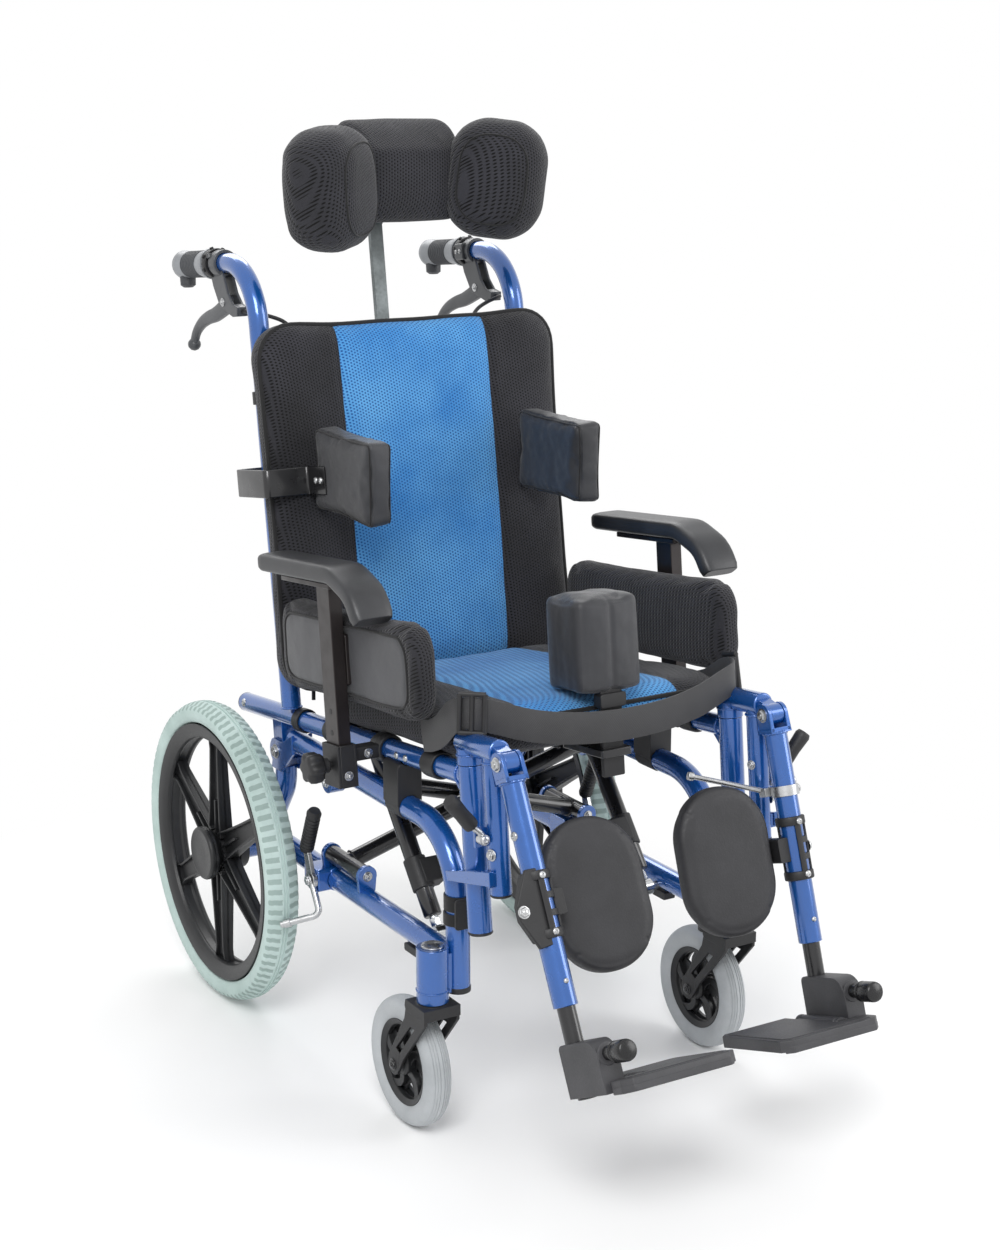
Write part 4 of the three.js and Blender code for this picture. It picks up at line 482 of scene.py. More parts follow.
def arc_band(r0, r1, start, end, z0, z1, steps=12):
    """Part of an upright sleeve."""
    return prism(arc2(0, 0, r1, start, end, steps) + arc2(0, 0, r0, end, start, steps), z0, z1, "z")


def round_rect(x0, x1, y0, y1, r, steps=6):
    return (arc2(x1 - r, y0 + r, r, -90, 0, steps) + arc2(x1 - r, y1 - r, r, 0, 90, steps) + arc2(x0 + r,
        y1 - r, r, 90, 180, steps) + arc2(x0 + r, y0 + r, r, 180, 270, steps))


def strap(places, heads, width, thickness, across):
    """Flat webbing with soft edges along a path."""
    across = Vector(across).normalized()
    stack = []
    for place, h in zip(places, heads):
        w = (across - h * across.dot(h)).normalized()
        t = h.cross(w).normalized()
        section = [(-0.5, -0.3), (-0.5, 0.3), (-0.47, 0.5), (0, 0.5), (0.47, 0.5), (0.5, 0.3), (0.5, -0.3),
            (0.47, -0.5), (0, -0.5), (-0.47, -0.5)]
        stack.append([place + w * a * width + t * b * thickness for a, b in section])
    return rings(stack)


def bolt(place, direction, r=6.0, height=4.0):
    """A washer, a domed hexagon head and the end of its stud."""
    return shape_join(turned([(0, 0), (r * 1.25, 0), (r * 1.25, 1.0), (r, 1.2)], place, direction, 24),
        turned([(r, 0.9), (r, height * 0.75), (r * 0.86, height), (0, height)], place, direction, 6),
        turned([(r * 0.5, height - 0.2), (r * 0.5, height + 0.8), (r * 0.3, height + 1.4), (0, height + 1.5)],
        place, direction, 16))


def pan_screw(place, direction, r=4.0):
    return turned([(r, -0.5), (r, 0.8), (r * 0.8, 1.9), (r * 0.4, 2.3), (r * 0.38, 1.2), (0, 1.2)], place,
        direction, 20)


def weld(place, direction, radius, bead=1.8, count=26):
    """A scalloped weld bead round a tube."""
    a, h = Vector(place), Vector(direction).normalized()
    u = h.orthogonal().normalized()
    v = h.cross(u)
    stack = []
    steps = count * 4
    for i in range(steps):
        t = 2 * math.pi * i / steps
        out = u * math.cos(t) + v * math.sin(t)
        fat = bead * (0.85 + 0.25 * abs(math.sin(count * t / 2)))
        stack.append([a + out * (radius + fat * math.cos(s * math.pi / 3)) + h * fat
            * math.sin(s * math.pi / 3) for s in range(6)])
    return rings(stack, loop=True)


# Objects
EDGE_ANGLE = math.radians(38)
SHARP_ANGLE = math.radians(44)
SLOTS = {"blue": "blue_paint", "satin": "black_steel", "post": "black_steel", "chrome": "bright_steel",
    "steel": "bright_steel", "grip": "grey_rubber", "grip_rib": "grey_rubber", "webbing": "webbing",
    "binding": "webbing", "green_tyre": "green_tyre", "grey_tyre": "pale_tyre", "zinc": None}


def new_mesh(name, points, faces, close, dissolve=False):
    """A welded mesh with its faces turned outward."""
    mesh = bpy.data.meshes.new(name)
    mesh.from_pydata(points, [], faces)
    bm = bmesh.new()
    bm.from_mesh(mesh)
    bmesh.ops.remove_doubles(bm, verts=bm.verts, dist=close)
    if dissolve:
        bmesh.ops.dissolve_degenerate(bm, edges=bm.edges, dist=close)
    bmesh.ops.recalc_face_normals(bm, faces=bm.faces)
    bm.to_mesh(mesh)
    bm.free()
    return mesh


def make(name, shape, where, side, material, body, node=None, slot=None, bevel=0.7):
    """One visible piece, of a shape or a list of shapes. In its names * stands for the side. A right-hand
    piece is the left-hand shape mirrored in its own frame. A slot is worked out, plastic by default, but not
    kept."""
    name, body = name.replace("*", side or ""), body.replace("*", side or "")
    points, faces = shape_join(*shape) if isinstance(shape, list) else shape
    matrix = place_matrix(where, side)
    mesh = new_mesh(name, [matrix @ Vector(p) for p in points], faces, 1e-6, True)
    mesh.materials.append(M[material])
    mesh.shade_smooth()
    obj = new_object(name, mesh)
    if bevel:
        mod = obj.modifiers.new("edges", "BEVEL")
        mod.width = bevel / 1000
        mod.segments = 2
        mod.limit_method = "ANGLE"
        mod.angle_limit = EDGE_ANGLE
        mod.use_clamp_overlap = True
    mesh.set_sharp_from_angle(angle=SHARP_ANGLE)
    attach(obj, body)
    if node:
        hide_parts(node.replace("*", side or ""))
    slot = slot or SLOTS.get(material, "black_plastic")
    return obj


# Degrees that turn head rest and trunk pads upright again on the leaning back
UPRIGHT = SEAT_LEAN + BACK_LEAN
HEAD_PLATE = shift((0, -58, 661))
# Named places in left-hand millimetres; PIVOT is (y, z), POST is (x, y)
PIVOT = (-70, 344)
POST = (208, -510)
RAIL_X = 176
LOW_STRUT_EYE = (147, -417, 207)
LOCK_PIN = (0, -200, 215)
ARM_CLAMP = (176, -282, 47)
LEVER_PIN = (85.4, 513.7)
EARS = {"left": (143, 237), "right": (195, 289)}
TOP_LUG = {"left": 236, "right": 205}


def ear(y):
    r = 13
    outline = [(RAIL_X - 10, 214), (RAIL_X + 10, 214), *arc2(RAIL_X, 243, r, -20, 200, 14)]
    return prism(outline, y - 3, y + 3, "y")


# Chassis side frames
for side in SIDES:
    x, ears, lug = RAIL_X, EARS[side], TOP_LUG[side]
    cheek = [(-118, 377), (-118, 352), (-84, 320), (-56, 320), *arc2(*PIVOT, 18, -50, 60, 8), (-88, 360)]
    frame_shape = [tube([(x, 0, 214), (x, -512, 214)], 14),
        tube([(x, -98, 364), (x, -512, 364), (x, -512, 178)], 14, 80, 32, 14),
        tube([(x, -70, 326), (x, -68, 296), (x, 0, 205)], 14, 60, 32, 10),
        rod(17, (158, 0, 198), (210, 0, 198)), prism(cheek, x - 14.5, x - 10.5),
        prism(cheek, x + 10.5, x + 14.5), sleeve(13.1, 18.5, 0, 65, (*POST, 172), UP, 40),
        box((186, 193), (-519, -501), (180, 228)), *[ear(-y) for y in ears],
        rod(14, (166, -lug, 340), (186, -lug, 340)), weld((x, -496, 214), AFT, 14.2),
        weld((*POST, 186), UP, 18.4, 1.2), weld((x, -8, 214), AFT, 14.2), weld((170, 0, 198), OUT, 17.2, 1.4)]
    make("*_frame_tubes", frame_shape, CHASSIS, side, "blue", "chassis", "*_side_frame")
    hardware = [rod(5, (x - 15, *PIVOT), (x + 15, *PIVOT)), bolt((x + 14.5, *PIVOT), OUT, 7.5, 4.5),
        bolt((x - 14.5, *PIVOT), INWARD, 7.5, 4.5), bolt((186, -lug, 340), OUT, 6, 4),
        bolt((x, 3 - ears[0], 243), AFT, 5, 3), bolt((x, -3 - ears[1], 243), FORE, 5, 3),
        rod(5, (x, -417, 207), (136, -417, 207)), bolt((140.5, -417, 207), INWARD, 8, 4),
        rod(6, (205, 0, 198), (262, 0, 198)), turned([(13, 0), (13, 2), (9, 4), (0, 4.4)], (*POST, 237), UP,
        24), rod(4, (203, -200, 215), (213, -200, 215)), bolt((210.5, -200, 215), OUT, 6.5, 4),
        turned([(9, 0), (9, 4)], (x - 10, -98, 364), AFT, 20)]
    make("*_frame_bolts", hardware, CHASSIS, side, "zinc", "chassis", bevel=0.3)
    clamp = [prism(round_rect(-212, -172, 200, 229, 5), 160, 203),
        turned([(15.8, 0), (15.8, 12)], (x, -178, 214), AFT, 32),
        turned([(15.8, 0), (15.8, 10)], (x, -212, 214), AFT, 32)]
    make("*_lock_clamp", clamp, CHASSIS, side, "blue", "chassis", bevel=1.2)
    saddle_shape = [prism([(160, 366), (192, 366), (192, 412), (189, 417), (181, 419),
        *arc2(176, 427.8, 12.9, -35, -145, 9), (171, 419), (163, 417), (160, 412)], -402, -366, "y"),
        turned([(15.2, 0), (15.2, 34)], (x, -402, 364), AFT, 32),
        turned([(14.6, 0), (14.6, 7)], (x, -512, 185), DOWN, 28),
        prism(round_rect(-428, -398, 188, 198, 3), 168, 184)]
    make("*_saddle", saddle_shape, CHASSIS, side, "plastic", "chassis", bevel=1.5)

# Straps round the down-tubes
for side in SIDES:
    band = [sleeve(14.2, 16.2, -9, 9, (RAIL_X, -512, 286), UP, 32),
        sleeve(14.2, 16.8, -7, 7, (RAIL_X, -512, 267), UP, 32),
        prism(round_rect(RAIL_X - 13, RAIL_X + 13, 258, 294, 4), -530.5, -526.5, "y")]
    make("*_tube_strap", band, CHASSIS, side, "binding", "chassis", bevel=0.8)

# Cross braces
for side in SIDES:
    own = side == "right"
    plane, centre = (236, 242) if own else (205, 190)
    brace = shape_join(rod(11, (176, -centre - 43.6, 243), (176, -centre + 43.6, 243)),
        rod(11, (176, -plane, 243), (-152, -plane, 340)),
        rod(10.5, (-150, -plane, 340), (-165.7, -plane, 340)),
        weld((167, -plane, 245.8), (-328, 0, 97), 11.2, 1.5))
    if own:
        brace = shape_join(brace, rod(7, (0, -237, 295), (0, -216.5, 295)), bolt((0, -247, 295), FORE, 7, 4))
    make("*_brace_tube", brace, CHASSIS, side, "satin", "chassis", "*_cross_brace")

# Wheel locks
for side in SIDES:
    a, b = Vector((206.3, -186.4, 250.3)), Vector((206.3, -213.2, 311))
    along = (b - a).normalized()
    ribs = [(8, 0), (8.6, 2)]
    d = 4
    while d < 53:
        ribs += [(9.2, d), (9.2, d + 2.2), (8.1, d + 2.8), (8.1, d + 4.2)]
        d += 5
    ribs += [(9.2, 56), (9.4, 60), (7, 64.5), (0, 65)]
    make("*_lock_grip", turned(ribs, a, along, 28), CHASSIS, side, "plastic", "*_wheel_lock",
        "*_wheel_lock_lever", bevel=0)
    lever = [sleeve(4.3, 11.5, 203.3, 209.2, LOCK_PIN, OUT, 28),
        prism([(-207, 219), (-193, 214), (-181, 253), (-192, 257)], 203.6, 209),
        tube([(207.4, -202, 214), (207.4, -224, 177), (250, -199.5, 164)], 4.2, 9, 18, 6),
        turned([(5.6, 0), (5.6, 9)], (239, -206, 167.5), (11, 6.5, -3.5), 16)]
    make("*_lock_rod", lever, CHASSIS, side, "zinc", "*_wheel_lock", slot="bright_steel", bevel=0.5)


# Rear wheels
TREAD_STEPS, BLOCK_STEPS = 360, 4
GROOVE, SHOULDER_GROOVE = 2.2, 1.8


def tyre_shape():
    """A round tyre with rows of tread blocks that run over its shoulders."""
    profile = [(169.9, 0), (170.3, 14), (173, 18.5), (179, 21.3), (185, 21.8), (189, 20.4), (192.2, 17.6),
        (194.6, 13.6), (196.4, 9), (197.3, 5), (197.4, 3.4), (196, 2.9), (196, 1.1), (197.6, 0.6)]
    half = profile + [(r, -d) for r, d in reversed(profile[1:])]
    stack = []
    for i in range(TREAD_STEPS):
        t = 2 * math.pi * i / TREAD_STEPS
        ring = []
        for r, d in half:
            groove = 0.0
            if r > 188.5 and abs(d) > 3.6:
                skew = i if d > 0 else i + 2
                groove = GROOVE if skew % BLOCK_STEPS == 0 else 0.0
                if 12 < abs(d) < 15:
                    groove = SHOULDER_GROOVE
            rr = r - groove
            ring.append(Vector((240 + d, rr * math.sin(t), 198 + rr * math.cos(t))))
        stack.append(ring)
    return rings(stack, loop=True)


def rim_shape():
    ring = turned([(151, -13), (158, -17), (169.6, -18.4), (169.6, -15), (167, -12), (167, 12), (169.6, 15),
        (169.6, 18.4), (158, 17), (151, 13), (149.5, 8), (152, 5), (152, -5), (149.5, -8)], WHEEL, OUT, 96,
        closed=True)
    hub = turned([(6.4, -29.6), (25, -29.6), (27, -27), (27, -16), (23, -12), (23, 8), (30, 14), (34, 18),
        (34, 22), (6.4, 22)], WHEEL, OUT, 48, closed=True)
    cap = turned([(33, 20), (35, 22.5), (35, 26.5), (34, 28.6), (31.5, 29.6), (30, 29.0), (12, 29.2),
        (0, 29.3)], WHEEL, OUT, 64)
    parts = [ring, hub, cap]
    for s in range(6):
        turn = shift(WHEEL) @ rot(60 * s, "X")
        spoke = [(19 - 7 * math.sin(math.pi * min(1, k / 8 * 0.9) * 0.5) + (4.5 if k == 8 else 0),
            22 + (153 - 22) * k / 8) for k in range(9)]
        parts.append(moved(turn, bars([(-2.2, 2.2, -w, w, d) for w, d in spoke])))
        parts += [moved(turn, bars([(-10 + 0.02 * d, 10 - 0.02 * d, sign * w, sign * (w - 3.4), d)
            for w, d in spoke])) for sign in (-1, 1)]
        parts.append(moved(turn, bars([(-8, 8, -1.6, 1.6, d) for d in (24, 70)])))
    return shape_join(*parts)


tyre, rim = tyre_shape(), rim_shape()
for side in SIDES:
    tyre_piece = make("*_tyre", tyre, CHASSIS, side, "green_tyre", "*_rear_wheel", "*_rear_tyre", bevel=0)
    tyre_piece.data.materials.append(M["tread_groove"])
    # Groove walls take the second, darker material: painted shade in the tread grooves
    for face in tyre_piece.data.polygons:
        radial = Vector((0, face.center.y - axle_y / 1000, face.center.z - WHEEL[2] / 1000)).normalized()
        if abs(face.normal.cross(radial).x) > 0.25:
            face.material_index = 1
    make("*_rim", rim, CHASSIS, side, "rim", "*_rear_wheel", "*_rear_rim", bevel=0.9)


# Casters
def caster_tyre_shape():
    half = [(50, 0), (50.5, 10.5), (54, 13.6), (60, 15.2), (66, 15.5), (70, 14.6), (72.6, 12.8), (74.2, 10.6),
        (74.9, 9.6), (74.1, 8.9), (75.5, 8.0), (76.1, 6.4), (75.2, 5.8), (76.4, 5.0), (76.8, 3.2),
        (75.7, 2.6), (76.9, 1.8)]
    profile = half + [(r, -d) for r, d in reversed(half[1:])]
    return turned(profile, CASTER, OUT, 96, closed=True)


def caster_rim_shape():
    axle = Vector(CASTER)
    ring = turned([(44, -9), (51.4, -12.4), (51.4, 12.4), (44, 9), (43, 4), (46, 0), (43, -4)], axle, OUT, 72,
        closed=True)
    hub = turned([(5.4, -14), (12, -14), (15, -11), (15, 11), (12, 14), (5.4, 14)], axle, OUT, 36,
        closed=True)
    parts = [ring, hub]
    for s in range(5):
        turn = shift(axle) @ rot(72 * s, "X")
        spoke = [(9 * math.sin(math.pi * k / 8), 4.2 + 2.2 * abs(k / 8 - 0.5) * 2, 12 + 33 * k / 8)
            for k in range(9)]
        parts.append(moved(turn, bars([(-8, 8, bow - w, bow + w, d) for bow, w, d in spoke])))
        parts.append(moved(turn, bars([(-1.5, 1.5, -13, 16, d) for d in (14, 45)])))
    return shape_join(*parts)


def fork_leg(lo, hi):
    """A fork leg with a long slot, made of two rails joined at their ends."""
    crown = [(-531, 168), (-489, 168), (-484, 146), (-492, 139.5), (-497, 139.5), (-507, 139.5), (-514, 132),
        (-531, 152)]
    rail_rear = [(-492, 139.5), (-484, 146), (-462, 112), (-445.5, 87), (-459, 96), (-464, 101),
        (-497, 139.5)]
    rail_front = [(-507, 139.5), (-472, 97.5), (-468.3, 73), (-480, 92), (-514, 132)]
    foot = [(-445.5, 87), *arc2(*CASTER[1:], 12.5, 30, -150, 12), (-472, 97.5), (-464, 101), (-459, 96)]
    return shape_join(*[prism(o, lo, hi) for o in (crown, rail_rear, rail_front, foot)])


for side in SIDES:
    make("*_caster_tread", caster_tyre_shape(), CHASSIS, side, "grey_tyre", "*_caster", "*_caster_wheel",
        bevel=0)
    make("*_caster_rim", caster_rim_shape(), CHASSIS, side, "rim", "*_caster", bevel=0.6)
    fork = [fork_leg(185, 189), fork_leg(227, 231),
        prism([(-532.4, 157), (-488.6, 157), (-485.6, 162), (-487.6, 170.4), (-532.4, 170.4)], 184.5, 231.5),
        turned([(12.6, 0), (12.6, 52)], (*POST, 168), UP, 32),
        turned([(20, 0), (20, 1.8), (17, 3.2), (0, 3.2)], (*POST, 168.6), UP, 36),
        rod(3, (189, -512, 150), (227, -512, 150))]
    make("*_fork_body", fork, CHASSIS, side, "plastic", "*_fork", "*_caster_fork", bevel=1.1)
    make("*_fork_bolts", [rod(5, (188, *CASTER[1:]), (228, *CASTER[1:])),
        bolt((231, *CASTER[1:]), OUT, 5.6, 3), bolt((185, *CASTER[1:]), INWARD, 5.6, 3)], CHASSIS, side,
        "satin", "*_fork", bevel=0.3)

# Gas struts
low_eye = Vector(LOW_STRUT_EYE)
top_eye = CHASSIS.inverted() @ (SEAT @ Vector((147, -189, 43)))
length = (top_eye - low_eye).length
up = (top_eye - low_eye).normalized()


def on_strut(d):
    return low_eye + up * d


for side in SIDES:
    rod_shape = [sleeve(5.4, 10, -6.5, 6.5, low_eye, OUT, 28), turned([(7, 9), (7, 19)], low_eye, up, 6),
        turned([(5.4, 17), (5.4, 21.5)], low_eye, up, 24), rod(4, on_strut(8), on_strut(190), 20)]
    make("*_gas_rod", rod_shape, CHASSIS, side, "chrome", "*_strut_rod", "*_strut_rod", bevel=0.4)
    barrel = [turned([(5, 22.5), (10, 22.5), (11, 24), (11, 62), (11.9, 63), (11.9, 66), (11, 67),
        (11, length - 30), (9, length - 20), (6.6, length - 16), (6.6, length - 10)], low_eye, up, 36),
        sleeve(11.6, 15.4, -6.5, 6.5, low_eye + up * length, OUT, 36)]
    make("*_gas_barrel", barrel, CHASSIS, side, "satin", "*_strut_cylinder", "*_strut_cylinder", bevel=0.5)
    tilt = shift(on_strut(76)) @ up.to_track_quat("Z", "X").to_matrix().to_4x4()
    lock = moved(shift((-13, 0, 0)), moved(tilt, box((-14, 14), (-15, 14), (-15, 15))))
    stub = moved(tilt, sleeve(11.2, 13.6, -20, 20, (0, 0, 0), UP, 32))
    make("*_gas_lock", [stub, lock], CHASSIS, side, "plastic", "*_strut_cylinder", bevel=2.0)

# Seat rails, posts and their fittings
for side in SIDES:
    x = RAIL_X
    rails = [tube([(x, 112.5, 47), (x, -481, 47)], 12.5, 0, 32),
        tube([(x, -481, -129), (x, -481, 59.4)], 14, 0, 32),
        prism([(-481, 40), (-446, 40), (-481, 6)], x - 4, x + 4),
        prism([(-13, 40), (-13, 0), *arc2(0, 0, 13, 180, 360, 14), (13, 0), (13, 40)], x - 10, x + 10),
        weld((x, -466.5, 47), AFT, 12.6), weld((x, 13.5, 40), UP, 6, 1.2)]
    make("*_rail_tubes", rails, SEAT, side, "blue", "seat_frame", "*_seat_rail")
    fittings = [turned([(11.07, -2), (12.6, 0), (12.6, 1.2), (9.84, 2.6), (0, 3.0)], (x, 112.5, 47), AFT, 28),
        turned([(14.2, 0), (14.2, 2.4), (13, 3.6), (0, 3.7)], (x, -481, -129), DOWN, 28),
        turned([(12.7, -14), (15.6, -14), (16.2, -10), (16.2, 10), (15.6, 14), (12.7, 14)], (x, -404, 47),
        AFT, 32, closed=True), sleeve(12.7, 15.2, -9, 9, (x, -150, 47), AFT, 32),
        sleeve(12.7, 15.4, -8, 8, (x, -62, 47), AFT, 32)]
    make("*_rail_fittings", fittings, SEAT, side, "plastic", "seat_frame", bevel=0.8)
    rail_bolts = [pan_screw((x + 11.5, 96, 50), (1, 0, 0.15), 5), pan_screw((x + 12.2, -330, 47), OUT, 4),
        pan_screw((x + 12.2, -352, 47), OUT, 4), rod(5, (x - 10, -189, 43), (136, -189, 43)),
        turned([(13.2, 0), (13.2, 2), (8, 4.2), (0, 4.4)], (138.2, -189, 43), INWARD, 32),
        rod(7, (x, -481, 60), (x, -481, 92))]
    make("*_rail_bolts", rail_bolts, SEAT, side, "zinc", "seat_frame", bevel=0.3)

base = shape_join(prism(round_rect(-130, 130, -440, -74, 12), 52, 59.6, "z"),
    rod(8, (-163.1, -380, 49), (163.1, -380, 49)), rod(8, (-163.1, -150, 49), (163.1, -150, 49)),
    prism(round_rect(-20, 20, -506, -420, 4), 44, 53, "z"),
    *[box((xx - 2, xx + 2), (-430, -90), (46, 52.5)) for xx in (-90, -30, 30, 90)])
make("seat_pan", base, SEAT, None, "satin", "seat_frame", "seat_base", bevel=0.9)

# Back canes
for side in SIDES:
    x = 184
    rise = 12 / 236
    cane = [tube([(x, 0, 2), (x, 0, 558), (x, 214, 568.9)], 12.5, 80, 32, 16), weld((x, 0, 3), UP, 12.6, 1.6)]
    make("*_cane_tube", cane, BACK, side, "blue", "seat_frame", "*_back_cane")
    bracket_outline = [(84, 556), (118, 556), (112, 536), (96, 508), (86, 505), (60, 494), (46, 494),
        (43, 505), (58, 510), (70, 524), (78, 545)]
    bracket = [turned([(12.7, 84), (16.6, 84), (17, 86), (17, 100), (16.6, 102), (12.7, 102)], (x, 0, 558),
        (0, 1, rise), 36, closed=True), prism(bracket_outline, x - 8, x - 4.5),
        prism(bracket_outline, x + 4.5, x + 8), prism([(60, 494), (46, 494), (43, 505), (58, 510)], x - 5,
        x + 5), turned([(6.5, 0), (6.5, 8), (5, 12), (3.4, 12.5), (3.4, 15)], (x, 60, 502), (0, -1, -0.25),
        20), prism(round_rect(x - 20, x - 8, 552, 574, 3), 92, 112, "y"),
        turned([(3.6, 0), (3.6, 6)], (x + 14, 101, 570), (0, 0.2, 1), 16)]
    make("*_lever_bracket", bracket, BACK, side, "lever", "seat_frame", bevel=0.8)
    make("*_lever_bolts", [bolt((x + 8, *LEVER_PIN), OUT, 4.4, 2.4),
        bolt((x - 8, *LEVER_PIN), INWARD, 4.4, 2.4), pan_screw((x - 20, 98, 563), INWARD, 3),
        pan_screw((x - 20, 107, 563), INWARD, 3), rod(3, (x - 9, *LEVER_PIN), (x + 9, *LEVER_PIN))], BACK,
        side, "zinc", "seat_frame", bevel=0.2)
    # Push grips
    start = Vector((x, 121, 558 + 121 * rise))
    profile = [(12.9, 0), (19.5, 0), (20, 2), (19.6, 6), (16.6, 9), (16.9, 24), (16.2, 26), (16.2, 74),
        (17, 76), (17.2, 84), (18.2, 87), (18.4, 94), (16.6, 98), (12, 99.4), (0, 99.8)]
    lip = turned([(9, 0), (10.5, 2), (10, 14), (6, 17), (0, 17.4)], start + Vector((0, 88, -8)), (0, 0.1, -1),
        24)
    make("*_grip", turned(profile, start, (0, 1, rise), 40), BACK, side, "grip", "seat_frame", "*_push_grip",
        bevel=0)
    ribbed = [(15.8, 27)]
    for k in range(9):
        d = 28.5 + 5 * k
        ribbed += [(16.5, d), (17.3, d + 0.8), (17.3, d + 2.6), (16.5, d + 3.4)]
    ribbed += [(15.8, 73)]
    make("*_grip_ribs", [turned(ribbed, start, (0, 1, rise), 40), lip], BACK, side, "grip_rib", "seat_frame",
        bevel=0)
    ring = start + Vector((0, -9, -9 * rise))
    make("*_grip_clamp", [turned([(12.6, -5.5), (18.6, -5.5), (19.2, -4), (19.2, 4), (18.6, 5.5),
        (12.6, 5.5)], ring, (0, 1, rise), 40, closed=True),
        *[rod(2.6, ring + Vector((19 * math.cos(t), 0, 19 * math.sin(t))),
        ring + Vector((21.5 * math.cos(t), 0, 21.5 * math.sin(t))), 12) for t in (0.5, 1.3, 2.1, 2.9, -0.4)]],
        BACK, side, "plastic", "seat_frame", bevel=0.5)
    # Levers: a curved tapering blade with a ball end
    places, heads = smooth_path([(x, 84, 512), (x, 104, 506), (x, 128, 500), (x, 152, 497), (x, 176, 491),
        (x, 196, 480), (x, 207.5, 466)], 6)
    widths = [14.5 - 6.5 * min(1, i / (len(places) - 1) * 1.2) for i in range(len(places))]
    stack = []
    for place, h, w in zip(places, heads, widths):
        wide = Vector(OUT)
        v = h.cross(wide).normalized()
        section = [(math.cos(t), math.sin(t)) for t in (2 * math.pi * k / 16 for k in range(16))]
        stack.append([place + wide * (5 * abs(a) ** 0.6 * (1 if a >= 0 else -1)) + v * (w * 0.82 * b)
            for a, b in section])
    ball = turned([(0, -8.5), (4.4, -7.3), (7.4, -4.2), (8.5, 0), (7.4, 4.2), (4.4, 7.3), (0, 8.5)],
        (x, 207.5, 465), OUT, 24)
    hub = sleeve(3.4, 8.6, -4, 4, (x, *LEVER_PIN), OUT, 28)
    make("*_lever_blade", [rings(stack), ball, hub], BACK, side, "lever", "*_brake_lever", "*_brake_lever",
        bevel=0)
    # Cable housing
    route = [(184, 49.6, 500), (184, 41, 499.6), (180, 30, 498.5), (158, 26, 492), (138, 21, 482),
        (124, 18, 462), (119, 17, 430), (118, 16, 380), (119, 16, 320), (122, 16, 250), (127, 16, 180),
        (133, 16, 120), (139, 15, 70), (145, 12, 30), (149, 8, 6)]
    make("*_cable", hose(route, 2.5, 14, 5), BACK, side, "plastic", "seat_frame", "*_brake_cable", bevel=0)
    # Clip on the cane
    make("*_cane_clip", [sleeve(12.7, 15.4, -8, 8, (x, 0, 392), UP, 32),
        prism(round_rect(-19, -8, 385, 400, 3), x - 2, x + 16)], BACK, side, "plastic", "seat_frame",
        bevel=0.8)

# Bars behind the back, with the straps of the trunk supports
make("back_bars", [*[rod(8, (-171.6, 0, w), (171.6, 0, w)) for w in (90, 297, 420)],
    *[prism(round_rect(-20, 20, z0, z1, r), y0, y1, "y")
    for z0, z1, r, y0, y1 in ((92, 418, 5, -4, 4), (405, 435, 4, 0, 19.6), (405, 435, 4, 28.4, 36))],
    *[box(xs, (19, 29), (405, 435)) for xs in ((-20, -9.6), (9.6, 20))]], BACK, None, "satin", "seat_frame",
    "back_frame", bevel=1.0)
make("stem_screw", [turned([(4, 0), (4, 8)], (0, 36, 420), AFT, 16),
    *[rod(4.5, (11 * math.cos(t), 48, 420 + 11 * math.sin(t)), (11 * math.cos(t), 58, 420 + 11 * math.sin(t)),
    14) for t in (0, 2.09, 4.19)], turned([(12, 0), (13, 2), (13, 8), (11, 10), (0, 10)], (0, 44, 420), AFT,
    28)], BACK, None, "plastic", "seat_frame", bevel=0.8)
for side in SIDES:
    places, heads = path_of([(150, 9, 289), (158, 17.5, 289), (222.5, 17.5, 289), (222.5, -66.5, 289),
        (165.3, -66.5, 289), (165.3, -114, 289)], 5, 5)
    make("*_trunk_strap", strap(places, heads, 34, 4, UP), BACK, side, "satin", "seat_frame", bevel=0.3)
    make("*_trunk_bolts", [pan_screw((167.4, -90, 289), OUT, 4.2), pan_screw((167.4, -103, 289), OUT, 4.2)],
        BACK, side, "zinc", "seat_frame", bevel=0)

# Head rest stem
head_turn = HEAD_PLATE @ rot(UPRIGHT, "X") @ HEAD_PLATE.inverted()
stem = prism([(20.2, 330), (27.8, 330), (27.8, 602), (-31, 661), (-34.5, 652), (20.2, 598)], -8.8, 8.8)
plate_shape = moved(head_turn, prism(round_rect(-30, 30, 628, 678, 8), -36.6, -32.8, "y"))
holes = shape_join(*[turned([(2.6, 0), (3.6, 0.1), (3.6, 0.7), (2.6, 0.9)], (0, 28, z), AFT, 18)
    for z in range(350, 590, 25)])
make("head_stem_bar", [stem, plate_shape, holes], BACK, None, "steel", "headrest", "headrest_stem", bevel=0.8)

